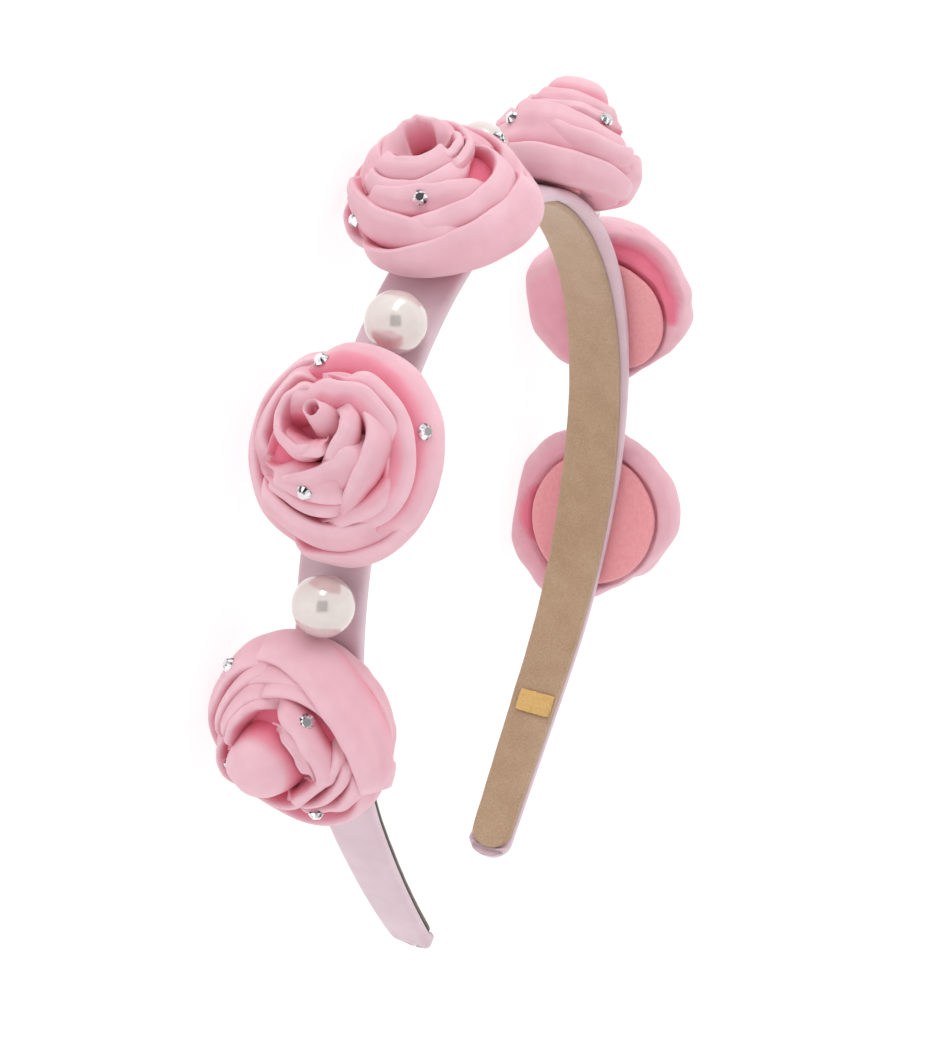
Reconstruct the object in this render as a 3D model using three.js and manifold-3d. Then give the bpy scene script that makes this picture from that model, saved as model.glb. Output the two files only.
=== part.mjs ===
// Flower headband: a satin-covered hoop with six wound satin roses, five pearls and cut stones.
// Millimetres. The hoop lies on its side, as it rests on a table: X runs from the left leg to the right leg,
// Y runs from the tips to the crown, and Z runs up from the table, across the width of the band.
import * as THREE from "three";
import { mergeVertices } from "three/addons/utils/BufferGeometryUtils.js";
import Module from "manifold-3d";

const wasm = await Module();
wasm.setup();

// Driving sizes
const DEGREE = Math.PI / 180;
const GAP = 0.3; // clearance kept between neighbouring pieces
const HOOP_HEIGHT = 17; // middle of the band above the table, set by the roses that it lies on
const STATION_STEP = 8.4; // spacing of the sections along the hoop

const BAND = { crownWidth: 13.4, sideWidth: 12.5, tipWidth: 8.8, sideShare: 0.55, thickness: 2.3 };
const TAIL_START = 0.4; // share of a leg after which it lifts off the level of the crown
const TIP_SHARES = [0.5, 0.8, 0.95, 1]; // sections of a rounded tip
const TIP_BLUNTNESS = 0.06;
const LINING = { crownInset: 2.8, tailInset: 0.3, widens: [20, 135], thickness: 0.8, tipMargin: 3 };
const TAB = { arc: 154, length: 4.6, width: 7.6, thickness: 0.5, forward: 0.7 };
const BACKING = { thickness: 1.2, sides: 20, cutHeight: 16 };
const PEARL = { radius: 5.2, sides: 14, rows: 8 };
const STONE = { radius: 1.35, table: 0.72, girdle: 0.3, height: 1.1, sides: 8, sunk: 0.25, above: 4 };

// The hoop's outer face, as arcs from the middle of the crown down each leg
const LEGS = {
  right: {
    side: 1,
    tailLift: 0.7,
    arcs: [
      { stretch: "crown", length: 28, turn: 31 },
      { stretch: "shoulder", length: 57, turn: 52.5 },
      { stretch: "side", length: 61, turn: 43 },
      { stretch: "tail", length: 41, turn: 1 },
    ],
  },
  left: {
    side: -1,
    tailLift: 1.6,
    arcs: [
      { stretch: "crown", length: 28, turn: 31 },
      { stretch: "shoulder", length: 57, turn: 52.5 },
      { stretch: "side", length: 55, turn: 36.5 },
      { stretch: "tail", length: 48, turn: 8 },
    ],
  },
};

// Band section: across is a share of the half-width, depth a share of the thickness below the outer face
const BAND_SECTION = [
  { across: -1, depth: 0.5 },
  { across: -0.84, depth: 0.12 },
  { across: -0.42, depth: 0 },
  { across: 0.42, depth: 0 },
  { across: 0.84, depth: 0.12 },
  { across: 1, depth: 0.5 },
  { across: 0.95, depth: 1 },
  { across: -0.95, depth: 1 },
];

// Folds of each rose, from the heart outwards. Angles are degrees round the rose, seen from outside, from
// the table's up direction. reach is how far the fold's rim lies from the rose's tip, measured along its
// side, at five even places along the fold. rise is how far the rim stands proud. face is the width of satin
// beside the rim at the fold's two ends: below the rim where positive, and above it, on a flared rim, where
// negative.
const FOLDS = {
  cupped: [
    { fold: "back petal", from: 214, to: 40, reach: [4.6, 2.2, 1.3, 1.6, 2.8], rise: 1.4, face: [9, 5] },
    { fold: "inner lip", from: -170, to: 14, reach: [6.4, 5.8, 4.8, 3.9, 3.4], rise: 1, face: [6, 4] },
    { fold: "first tuck", from: -52, to: 56, reach: [6, 5.8, 5.5, 5.3, 5], rise: 0.9, face: [1.8, 2] },
    { fold: "second tuck", from: -44, to: 48, reach: [8.2, 7.6, 7.3, 7.1, 6.8], rise: 0.8, face: [1.8, 2] },
    { fold: "second lip", from: -172, to: 4, reach: [11, 10.8, 9.8, 8, 6.8], rise: 0.8, face: [5, 4] },
    { fold: "stone fold", from: -150, to: 8, reach: [14.5, 12, 10.4, 10.9, 13.4], rise: 0.9, face: [6, 5] },
    { fold: "back fold", from: 46, to: 212, reach: [11, 13.4, 14, 14, 13], rise: 0.8, face: [7, 7] },
    { fold: "hollow fold", from: 56, to: -108, reach: [5.5, 12, 13.6, 15, 17], rise: 1.3, face: [6, 6] },
    { fold: "wide fold", from: -190, to: -22, reach: [17.5, 15.6, 15.2, 16.2, 17.4],
      rise: 1.1, face: [8, 6] },
    { fold: "back wrap", from: 30, to: 228, reach: [17, 18, 18.5, 19, 20], rise: 1, face: [11, 11] },
    { fold: "front wrap", from: -152, to: 58, reach: [25, 21.4, 17.8, 16.6, 18], rise: 1.2, face: [9, 11] },
    { fold: "low wrap", from: -112, to: -238, reach: [25, 23.4, 22.4, 21.6, 21], rise: 0.8, face: [8, 8] },
  ],
  fanned: [
    { fold: "cup", from: 70, to: 306, reach: [2.8, 5.6, 6.8, 4.4, 2.4], rise: 1.6, face: [3.5, 3] },
    { fold: "lip", from: -182, to: -36, reach: [9.8, 7.6, 5.9, 5.1, 4], rise: 1, face: [-3.4, -2.2] },
    { fold: "post fold", from: 46, to: -98, reach: [4.8, 3.9, 4, 4.7, 8], rise: 1, face: [4, 4] },
    { fold: "stone fold", from: -152, to: 12, reach: [14.6, 9.2, 6.4, 6.1, 8], rise: 0.8, face: [4, 7] },
    { fold: "stone edge", from: -150, to: -42, reach: [15, 12.9, 12.4, 12.4, 13], rise: 0.6, face: [-5, -6] },
    { fold: "crescent", from: -155, to: -52, reach: [17, 14.9, 14.5, 14.7, 15], rise: 0.3, face: [-3, -3] },
    { fold: "slanted fold", from: 42, to: -94, reach: [8.8, 8, 8.6, 11.4, 17.2], rise: 1.1, face: [9, 3] },
    { fold: "slanted edge", from: 20, to: -96, reach: [15, 16.4, 16.4, 16.2, 18], rise: 0.5, face: [-4, -2] },
    { fold: "long fold", from: 192, to: -28, reach: [12.5, 5.8, 7.2, 12, 17.2], rise: 1.3, face: [-4, -5] },
    { fold: "inner wrap", from: 104, to: -66, reach: [13, 12.6, 15.6, 18.3, 18.2],
      rise: 1.3, face: [-5, -4] },
    { fold: "left fold", from: 214, to: 112, reach: [15.6, 13.2, 12, 12, 13], rise: 0.3, face: [5, 5] },
    { fold: "bottom fold", from: -164, to: -36, reach: [19.5, 16.3, 16.9, 17.2, 18.6],
      rise: 0.8, face: [7, 5] },
    { fold: "right wrap", from: 150, to: -72, reach: [19, 21, 22, 22.4, 23.5], rise: 0.9, face: [-9, -6] },
    { fold: "bottom wrap", from: -130, to: -6, reach: [25, 22, 21.3, 21.4, 21], rise: 0.8, face: [7, 7] },
    { fold: "left wrap", from: 84, to: 262, reach: [15, 15.6, 16.4, 18, 21], rise: 0.4, face: [11, 11] },
  ],
  capped: [
    { fold: "inner fold", from: 84, to: -26, reach: [7.6, 7, 6.8, 7.2, 8.6], rise: -0.8, face: [3, 3] },
    { fold: "left gable", from: 184, to: 78, reach: [8, 7, 7.6, 9, 11.8], rise: 1.2, face: [2.6, 2.6] },
    { fold: "gable strip", from: 182, to: 82, reach: [10.4, 8.7, 8.9, 10.2, 13], rise: 0.9, face: [5, 5] },
    { fold: "right gable", from: 100, to: -38, reach: [12.2, 9.6, 8.9, 9.7, 9], rise: 1.2, face: [5, 4] },
    { fold: "under cap", from: -30, to: -215, reach: [10, 10.6, 11, 11, 11], rise: 0.6, face: [7, 7] },
    { fold: "first fan", from: 34, to: -76, reach: [15.2, 12, 9.2, 8.2, 8.8], rise: 0.9, face: [3.5, 3.5] },
    { fold: "stone fold", from: 118, to: 26, reach: [11.2, 12.8, 13.9, 14.5, 15], rise: 0.8, face: [5, 5] },
    { fold: "second fan", from: 24, to: -82, reach: [15.4, 13.4, 12.2, 11.4, 11.4],
      rise: 0.9, face: [3.5, 3.5] },
    { fold: "crown fold", from: 140, to: 40, reach: [12.8, 14.6, 15.4, 15.9, 16.4], rise: 0.8, face: [5, 5] },
    { fold: "third fan", from: 12, to: -96, reach: [15.4, 15.6, 15.2, 14.9, 15.4], rise: 0.9, face: [5, 5] },
    { fold: "left fold", from: 198, to: 80, reach: [11.4, 12, 13, 15.6, 20], rise: 0.9, face: [5, 5] },
    { fold: "left wrap", from: 78, to: 246, reach: [19, 17.4, 16, 16.2, 17], rise: 1, face: [11, 11] },
    { fold: "bottom wrap", from: -14, to: -172, reach: [19, 19, 18.6, 19, 20], rise: 2, face: [9, 11] },
    { fold: "great wrap", from: 150, to: -62, reach: [20.5, 18, 14.6, 16, 23], rise: 1.6, face: [12, 9] },
    { fold: "corner", from: 2, to: -40, reach: [22.5, 23.5, 24, 24.5, 26], rise: 1, face: [-5, -5] },
  ],
  pointed: [
    { fold: "cap fold", from: -156, to: 26, reach: [8.6, 9.2, 9, 10.4, 10.4], rise: 0.4, face: [4, 4] },
    { fold: "back cap fold", from: 8, to: 228, reach: [9, 9.5, 10, 10, 9.5], rise: 0.9, face: [6, 6] },
    { fold: "second fold", from: -150, to: 8, reach: [13, 13.8, 12.4, 12.4, 12.2], rise: 0.7, face: [3, 3] },
    { fold: "slanted fold", from: -158, to: 18, reach: [14, 14.2, 14.8, 16.9, 18.8], rise: 1, face: [6, 6] },
    { fold: "back slanted", from: 20, to: 238, reach: [14, 14.5, 14.5, 14.5, 14], rise: 0.9, face: [7, 7] },
    { fold: "curved fold", from: -98, to: 8, reach: [15.4, 18.2, 19.6, 19.4, 18], rise: 0.7, face: [4, 5] },
    { fold: "front wrap", from: -164, to: 38, reach: [26, 23, 22, 24, 28.5], rise: 1.1, face: [10, 9] },
    { fold: "far wrap", from: -18, to: 118, reach: [18, 19, 19.5, 20, 20], rise: 1, face: [11, 11] },
    { fold: "near wrap", from: 88, to: 228, reach: [18, 19, 20, 20.5, 21], rise: 1, face: [10, 10] },
  ],
};

// Section of a fold: along is from the rim, as a distance plus a share of the face, and proud is from the
// rose's side, as a distance plus a share of the rise
const FOLD_SECTION = [
  { along: 0.6, face: 0, proud: -3, rise: 0 },
  { along: -0.5, face: 0, proud: -0.7, rise: 1 },
  { along: 0.1, face: 0, proud: 0, rise: 1 },
  { along: 0, face: 0.3, proud: 0, rise: 0.9 },
  { along: 0, face: 0.7, proud: -0.2, rise: 0.4 },
  { along: 0, face: 1, proud: -2.8, rise: 0 },
];

// Heart of each kind of rose: a rolled tube with a hollow, or a rounded cap with none. proud is its height
// above the rose's tip; tip and foot are how far its two ends lie from the rose's axis, up from the table and
// round.
const BUDS = {
  cupped: { radius: 2, proud: -5.4, hollow: 1.2, tip: [0, 0], foot: [0, 0] },
  fanned: { radius: 1.5, proud: 1, hollow: 2.6, tip: [-0.9, 1.7], foot: [1.4, -1] },
  capped: { radius: 5.3, proud: 0.3, hollow: 0, tip: [-1.5, -1.4], foot: [-0.8, -0.8] },
  pointed: { radius: 5.4, proud: -0.3, hollow: 0, tip: [0, 0.4], foot: [0, 0] },
};
const BUD = { depth: 8, sides: 12 };

// One row for each rose: where it sits along its leg, its size above and below its widest round, how far it
// sits forward of the band's middle, how far its tip leans (up from the table, and round the hoop), how it is
// turned, the share of the band's curve that its underside follows, and its felt disc's radius and shift up
// from the table
const ROSES = [
  { name: "a", leg: "left", arc: 20, kind: "cupped", radius: 16.6, height: 19.5, below: 5.6,
    forward: 0.5, lean: [-3.5, 0], turn: 0, sag: 0, disc: 10.5, discUp: 0 },
  { name: "b", leg: "left", arc: 66.5, kind: "fanned", radius: 17.2, height: 19.5, below: 7,
    forward: 1.2, lean: [1, 5.5], turn: 0, sag: 0.5, disc: 12, discUp: 0 },
  { name: "c", leg: "left", arc: 109.8, kind: "capped", radius: 16.8, height: 20.5, below: 7,
    forward: -0.3, lean: [-1, 0], turn: 0, sag: 0.4, disc: 11.5, discUp: 0 },
  { name: "d", leg: "right", arc: 22, kind: "pointed", radius: 14.6, height: 21.5, below: 7.8,
    forward: 0.5, lean: [0, 0], turn: 0, sag: 0.6, disc: 5, discUp: 0 },
  { name: "e", leg: "right", arc: 66, kind: "pointed", radius: 17.4, height: 20, below: 7.4,
    forward: -0.8, lean: [0, 0], turn: 130, sag: 0.6, disc: 11, discUp: 3.6 },
  { name: "f", leg: "right", arc: 113, kind: "capped", radius: 18, height: 19, below: 7.4,
    forward: -0.2, lean: [0, 0], turn: -60, sag: 0.6, disc: 13.9, discUp: 1.2 },
];

// Where a rose's outline is pulled in or out: the middle and half of the stretch in degrees, and by how much
const PULLS = {
  e: [{ angle: -135, half: 50, by: -4 }, { angle: -60, half: 40, by: 1.5 }, { angle: 45, half: 45, by: -2 }],
  f: [{ angle: 44, half: 66, by: -3.2 }],
};
const DOME = { widest: 5, bluntness: 1.5, underBluntness: 3, swing: 160, points: 48 };
const FOLD = { degreesPerStation: 24, fewest: 5, endShare: 0.24, endSink: 2, endWidth: 0.6, tidy: 0.5 };
const CORE = { reaches: [1.5, 6, 11, 16, 21, 25, 28, 31], sides: 12, sink: 2 };
const SADDLE = { reach: 0.7, width: 80, sides: 60 };
const TABLE_CUT = { depth: 20, width: 80 }; // block that presses a rose's underside flat
const PULLED = { full: 6, none: 14 }; // heights in a rose between which its outline stops being pulled
const SAG = { full: 4, none: 12 }; // heights in a rose between which it stops following the band
const SEAT_GAP = 0.5; // clearance kept between a rose's satin and the band

// Pearls: arc from the crown, and distance forward of the band's middle
const PEARLS = [
  { name: "crown", leg: "right", arc: 0, forward: -4.8 },
  { name: "left_high", leg: "left", arc: 44, forward: 2.6 },
  { name: "left_low", leg: "left", arc: 88.4, forward: 2.2 },
  { name: "right_high", leg: "right", arc: 43.6, forward: -4 },
  { name: "right_low", leg: "right", arc: 89, forward: -2.5 },
];

// Stones: angle round the rose and reach from its tip, measured like the folds
const STONES = {
  a: [{ angle: -68, reach: 12.7 }, { angle: -134, reach: 20.6 },
    { angle: 70, reach: 18 }, { angle: 130, reach: 14 }],
  b: [{ angle: 14, reach: 18.1 }, { angle: -96, reach: 12.4 }, { angle: 120, reach: 13.8 }],
  c: [{ angle: 52, reach: 12.3 }, { angle: -63, reach: 15.4 },
    { angle: 139, reach: 20 }, { angle: -152, reach: 10.5 }],
  d: [{ angle: -122, reach: 18 }, { angle: -33, reach: 14 },
    { angle: 60, reach: 16 }, { angle: 140, reach: 15 }],
  e: [{ angle: -145, reach: 14 }, { angle: -40, reach: 13 },
    { angle: 70, reach: 13 }, { angle: 140, reach: 14 }],
  f: [{ angle: -40, reach: 14 }, { angle: -110, reach: 13 },
    { angle: 110, reach: 14 }, { angle: 30, reach: 13 }],
};

const MATERIALS = {
  bandSatin: new THREE.MeshStandardMaterial({ color: 0xdcc6d0, roughness: 0.42, metalness: 0 }),
  roseSatin: new THREE.MeshStandardMaterial({ color: 0xe7a4b9, roughness: 0.55, metalness: 0 }),
  suede: new THREE.MeshStandardMaterial({ color: 0xb29476, roughness: 0.9, metalness: 0 }),
  felt: new THREE.MeshStandardMaterial({ color: 0xe89ba0, roughness: 0.95, metalness: 0 }),
  pearl: new THREE.MeshStandardMaterial({ color: 0xf3eee8, roughness: 0.18, metalness: 0 }),
  crystal: new THREE.MeshStandardMaterial({ color: 0xf1f2f6, roughness: 0.06, metalness: 0.2 }),
  gold: new THREE.MeshStandardMaterial({ color: 0xd8b35c, roughness: 0.35, metalness: 0.8 }),
};

// Solids and meshes

function solidFrom(geometry) {
  const bare = new THREE.BufferGeometry();
  bare.setAttribute("position", geometry.getAttribute("position"));
  bare.setIndex(geometry.index);
  const merged = mergeVertices(bare, 1e-4);
  return new wasm.Manifold(
    new wasm.Mesh({
      numProp: 3,
      vertProperties: merged.getAttribute("position").array,
      triVerts: new Uint32Array(merged.index.array),
    }),
  );
}

function geometryFrom(solid) {
  const mesh = solid.getMesh();
  const geometry = new THREE.BufferGeometry();
  geometry.setAttribute("position", new THREE.BufferAttribute(new Float32Array(mesh.vertProperties), 3));
  geometry.setIndex(new THREE.BufferAttribute(new Uint32Array(mesh.triVerts), 1));
  return geometry;
}

// The largest connected body, without loose slivers or sealed hollows
function mainBody(solid) {
  return solid.decompose().reduce((best, body) => (body.volume() > best.volume() ? body : best));
}

// A closed skin over a row of rings that have equal numbers of points
function loft(rings) {
  const count = rings[0].length;
  const points = rings.flat();
  const faces = [];
  for (let ring = 0; ring + 1 < rings.length; ring++) {
    for (let i = 0; i < count; i++) {
      const a = ring * count + i;
      const b = ring * count + ((i + 1) % count);
      faces.push([a, b, b + count], [a, b + count, a + count]);
    }
  }
  const last = (rings.length - 1) * count;
  for (let i = 1; i + 1 < count; i++) {
    faces.push([0, i + 1, i], [last, last + i, last + i + 1]);
  }
  const volume = faces.reduce((sum, [a, b, c]) => {
    return sum + points[a].dot(new THREE.Vector3().crossVectors(points[b], points[c]));
  }, 0);
  const outward = volume < 0 ? faces.map(([a, b, c]) => [a, c, b]) : faces;
  return new THREE.BufferGeometry().setFromPoints(points).setIndex(outward.flat());
}

function placedBox(size, centre) {
  return solidFrom(new THREE.BoxGeometry(...size).translate(...centre));
}

// The hoop

function legLength(leg) {
  return leg.arcs.reduce((sum, { length }) => sum + length, 0);
}

// Point on the outer face of a leg and the direction out of the hoop there
function hoopAt(leg, arc) {
  let x = 0;
  let y = 0;
  let heading = 0;
  let remaining = arc;
  for (const { length, turn } of leg.arcs) {
    const run = Math.min(remaining, length);
    const half = (run / length) * turn * DEGREE * 0.5;
    const chord = half > 0 ? (run * Math.sin(half)) / half : run;
    x += chord * Math.cos(heading + half);
    y -= chord * Math.sin(heading + half);
    heading += 2 * half;
    remaining -= run;
  }
  const tail = Math.max(0, arc / legLength(leg) - TAIL_START) / (1 - TAIL_START);
  const point = new THREE.Vector3(leg.side * x, y, leg.tailLift * tail * tail);
  const outward = new THREE.Vector3(leg.side * Math.sin(heading), Math.cos(heading), 0);
  return { point, outward };
}

// Half-width of the band, rounded off towards the end of a strip that stops at the given arc
function halfWidthAt(leg, arc, stop) {
  const share = arc / legLength(leg);
  const { crownWidth, sideWidth, tipWidth, sideShare } = BAND;
  const width =
    share < sideShare
      ? THREE.MathUtils.lerp(crownWidth, sideWidth, share / sideShare)
      : THREE.MathUtils.lerp(sideWidth, tipWidth, (share - sideShare) / (1 - sideShare));
  const roundStart = stop - tipWidth / 2;
  const past = Math.max(0, arc - roundStart) / (tipWidth / 2);
  return (width / 2) * Math.sqrt(Math.max(TIP_BLUNTNESS, 1 - past * past));
}

// Arc positions from the left tip over the crown to the right tip, with extra sections at the rounded tips
function hoopStations(margin) {
  const stations = [];
  for (const leg of [LEGS.left, LEGS.right]) {
    const stop = legLength(leg) - margin;
    const straight = stop - BAND.tipWidth / 2;
    const steps = Math.round(straight / STATION_STEP);
    const arcs = [];
    for (let i = 0; i <= steps; i++) arcs.push((straight * (i + 0.5)) / (steps + 0.5));
    for (const share of TIP_SHARES) arcs.push(straight + (share * BAND.tipWidth) / 2);
    const row = arcs.map((arc) => ({ leg, arc, stop }));
    stations.push(...(leg.side < 0 ? row.reverse() : row));
  }
  return stations;
}

function hoopPoint(leg, arc, depth, across) {
  const { point, outward } = hoopAt(leg, arc);
  return point.addScaledVector(outward, -depth).add(new THREE.Vector3(0, 0, across));
}

function makeBand() {
  const rings = hoopStations(0).map(({ leg, arc, stop }) => {
    const half = halfWidthAt(leg, arc, stop);
    return BAND_SECTION.map(({ across, depth }) => {
      return hoopPoint(leg, arc, depth * BAND.thickness, across * half);
    });
  });
  return loft(rings);
}

// The lining's two edges across the band: it leaves a margin of satin in front, wider towards the crown
function liningEdges(leg, arc, stop) {
  const half = halfWidthAt(leg, arc, stop);
  const share = THREE.MathUtils.smoothstep(arc, ...LINING.widens);
  const front = THREE.MathUtils.lerp(LINING.crownInset, LINING.tailInset, share);
  return [LINING.tailInset - half, half - front];
}

function makeLining() {
  const top = BAND.thickness + GAP;
  const rings = hoopStations(LINING.tipMargin).map(({ leg, arc, stop }) => {
    const [low, high] = liningEdges(leg, arc, stop);
    return [
      hoopPoint(leg, arc, top, low),
      hoopPoint(leg, arc, top, high),
      hoopPoint(leg, arc, top + LINING.thickness, high),
      hoopPoint(leg, arc, top + LINING.thickness, low),
    ];
  });
  return loft(rings);
}

// A thin plate on the inner face of the lining
function makeTab() {
  const top = BAND.thickness + LINING.thickness + 2 * GAP;
  const corners = [TAB.arc - TAB.length / 2, TAB.arc + TAB.length / 2].map((arc) => {
    const low = TAB.forward - TAB.width / 2;
    const high = TAB.forward + TAB.width / 2;
    return [
      hoopPoint(LEGS.right, arc, top, low),
      hoopPoint(LEGS.right, arc, top, high),
      hoopPoint(LEGS.right, arc, top + TAB.thickness, high),
      hoopPoint(LEGS.right, arc, top + TAB.thickness, low),
    ];
  });
  return loft(corners);
}

// The roses

// A rose's own frame: x is up from the table, y runs round the hoop, z points out of the hoop
function seatOn(group, leg, arc, forward) {
  const { point, outward } = hoopAt(leg, arc);
  const up = new THREE.Vector3(0, 0, 1);
  const round = new THREE.Vector3().crossVectors(outward, up);
  group.position.copy(point).addScaledVector(up, forward);
  group.quaternion.setFromRotationMatrix(new THREE.Matrix4().makeBasis(up, round, outward));
  return group;
}

// Radius of the round that the band makes under a rose
function saddleRadius(rose) {
  const leg = LEGS[rose.leg];
  const seat = hoopAt(leg, rose.arc);
  const radii = [-1, 1].map((way) => {
    const away = hoopAt(leg, rose.arc + way * rose.radius * SADDLE.reach).point.sub(seat.point);
    const sag = -away.dot(seat.outward);
    return away.lengthSq() / (2 * sag);
  });
  return (radii[0] + radii[1]) / 2;
}

// The rose's side view as a curve from its tip to its underside, read by distance from the tip
function domeOf(rose) {
  const { widest, bluntness, underBluntness, points } = DOME;
  const curve = [];
  for (let i = 0; i <= points; i++) {
    const swing = (i / points) * DOME.swing * DEGREE;
    const upper = swing <= Math.PI / 2;
    const power = 2 / (upper ? bluntness : underBluntness);
    const tall = upper ? rose.height - widest : rose.below;
    const radial = rose.radius * Math.sin(swing) ** power;
    const rise = Math.sign(Math.cos(swing)) * Math.abs(Math.cos(swing)) ** power;
    curve.push(new THREE.Vector2(radial, widest + tall * rise));
  }
  const reaches = [0];
  for (let i = 1; i < curve.length; i++) reaches.push(reaches[i - 1] + curve[i].distanceTo(curve[i - 1]));
  const whole = reaches[reaches.length - 1];
  return (reach, proud) => {
    const wanted = THREE.MathUtils.clamp(reach, 0.01, whole - 0.01);
    const i = reaches.findIndex((value) => value > wanted);
    const along = curve[i].clone().sub(curve[i - 1]);
    const share = (wanted - reaches[i - 1]) / (reaches[i] - reaches[i - 1]);
    const place = curve[i - 1].clone().addScaledVector(along, share);
    const outward = new THREE.Vector2(-along.y, along.x).normalize();
    return { place: place.addScaledVector(outward, proud), outward };
  };
}

// How far the round that the band makes under a rose falls away beside the rose's middle
function saddleFall(radius, y) {
  return radius - Math.sqrt(radius * radius - y * y);
}

// How much wider or narrower than round a rose is in one direction, at a height
function outlineShare(rose, angle, height) {
  const low = 1 - THREE.MathUtils.smoothstep(height, PULLED.full, PULLED.none);
  const pull = (PULLS[rose.name] ?? []).reduce((sum, row) => {
    const away = Math.abs(THREE.MathUtils.euclideanModulo(angle - row.angle + 180, 360) - 180);
    return sum + row.by * low * (1 - THREE.MathUtils.smoothstep(away, 0, row.half));
  }, 0);
  return 1 + pull / rose.radius;
}

// A point beside the rose's leaning axis, drawn down towards the band where it is low
function rosePoint(rose, angle, place) {
  const turned = (angle + rose.turn) * DEGREE;
  const share = place.y / rose.height;
  const radial = Math.max(0, place.x) * outlineShare(rose, angle + rose.turn, place.y);
  const x = radial * Math.cos(turned) + rose.lean[0] * share;
  const y = radial * Math.sin(turned) + rose.lean[1] * share;
  const follows = rose.sag * (1 - THREE.MathUtils.smoothstep(place.y, SAG.full, SAG.none));
  return new THREE.Vector3(x, y, place.y - follows * saddleFall(saddleRadius(rose), y));
}

// One fold of satin: a rim that rolls over, and a face that drops away from it and tucks under the next fold
function makeFold(rose, dome, fold) {
  const sweep = fold.to - fold.from;
  const rim = new THREE.SplineCurve(fold.reach.map((reach, place) => new THREE.Vector2(place, reach)));
  const stations = Math.max(FOLD.fewest, Math.ceil(Math.abs(sweep) / FOLD.degreesPerStation));
  const rings = [];
  for (let i = 0; i <= stations; i++) {
    const share = i / stations;
    const full = THREE.MathUtils.smoothstep(Math.min(share, 1 - share) / FOLD.endShare, 0, 1);
    const lift = THREE.MathUtils.lerp(-FOLD.endSink, fold.rise, full);
    const width = THREE.MathUtils.lerp(...fold.face, share) * THREE.MathUtils.lerp(FOLD.endWidth, 1, full);
    const reach = rim.getPoint(share).y;
    const angle = fold.from + sweep * share;
    const ring = FOLD_SECTION.map(({ along, face, proud, rise }) => {
      const away = along * Math.sign(width) + face * width;
      return rosePoint(rose, angle, dome(reach + away, proud + rise * lift).place);
    });
    rings.push(ring);
  }
  return loft(rings);
}

// The wound middle of a rose, under all of its folds
function makeCore(rose, dome) {
  const rings = [];
  for (const reach of CORE.reaches) {
    const { place } = dome(reach, -CORE.sink);
    const ring = [];
    for (let i = 0; i < CORE.sides; i++) ring.push(rosePoint(rose, (i * 360) / CORE.sides, place));
    rings.push(ring);
  }
  return loft(rings);
}

function makeBud(rose) {
  const { radius, proud, hollow, tip, foot } = BUDS[rose.kind];
  const tube = [[2.2, -BUD.depth], [1.45, -2.6], [1, -0.3], [0.8, 0], [0.6, -0.8], [0, -hollow]];
  const cap = [[1.25, -BUD.depth], [1.1, -3.4], [0.86, -1.15], [0.5, -0.3], [0, 0]];
  const profile = [[0, -BUD.depth], ...(hollow > 0 ? tube : cap)];
  const bud = new THREE.LatheGeometry(profile.map(([x, y]) => new THREE.Vector2(x * radius, y)), BUD.sides);
  const places = bud.rotateX(Math.PI / 2).getAttribute("position");
  for (let i = 0; i < places.count; i++) {
    const down = -places.getZ(i) / BUD.depth;
    places.setX(i, places.getX(i) + THREE.MathUtils.lerp(tip[0], foot[0], down));
    places.setY(i, places.getY(i) + THREE.MathUtils.lerp(tip[1], foot[1], down));
  }
  return bud.translate(rose.lean[0], rose.lean[1], rose.height + proud);
}

// A wide round that follows the band under a rose, raised by the given height
function saddle(rose, raised) {
  const radius = saddleRadius(rose);
  const outer = radius + raised;
  const round = new THREE.CylinderGeometry(outer, outer, SADDLE.width, SADDLE.sides);
  return solidFrom(round.rotateZ(Math.PI / 2).translate(0, 0, -radius));
}

// An upright round over a rose's felt disc
function discRound(rose, margin) {
  const radius = rose.disc + margin;
  const round = new THREE.CylinderGeometry(radius, radius, BACKING.cutHeight, BACKING.sides);
  return solidFrom(round.rotateX(Math.PI / 2).translate(rose.discUp, 0, 0));
}

function makeRose(rose) {
  const dome = domeOf(rose);
  let solid = solidFrom(makeCore(rose, dome)).add(solidFrom(makeBud(rose)));
  for (const fold of FOLDS[rose.kind]) solid = solid.add(solidFrom(makeFold(rose, dome, fold)));
  solid = solid.asOriginal().simplify(FOLD.tidy);
  solid = solid.subtract(saddle(rose, SEAT_GAP));
  solid = solid.subtract(discRound(rose, GAP).intersect(saddle(rose, BACKING.thickness + 2 * GAP)));
  const table = HOOP_HEIGHT + hoopAt(LEGS[rose.leg], rose.arc).point.z + rose.forward;
  const { depth, width } = TABLE_CUT;
  solid = solid.subtract(placedBox([depth, width, width], [-table - depth / 2, 0, 0]));
  return mainBody(solid);
}

function makeBacking(rose) {
  const between = saddle(rose, GAP + BACKING.thickness).subtract(saddle(rose, GAP));
  return geometryFrom(mainBody(discRound(rose, 0).intersect(between)));
}

// Where a stone sits: the satin that a straight line towards the rose's side first meets
function stoneSeats(rose, solid) {
  const satin = new THREE.Mesh(geometryFrom(solid));
  const dome = domeOf(rose);
  return STONES[rose.name].map(({ angle, reach }) => {
    const { place, outward } = dome(reach, 2 * STONE.above);
    const start = rosePoint(rose, angle - rose.turn, place);
    const turned = angle * DEGREE;
    const away = new THREE.Vector3(outward.x * Math.cos(turned), outward.x * Math.sin(turned), outward.y);
    const hit = new THREE.Raycaster(start, away.clone().negate()).intersectObject(satin)[0];
    const turn = new THREE.Quaternion().setFromUnitVectors(new THREE.Vector3(0, 0, 1), away);
    return { point: hit.point, turn };
  });
}

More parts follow.
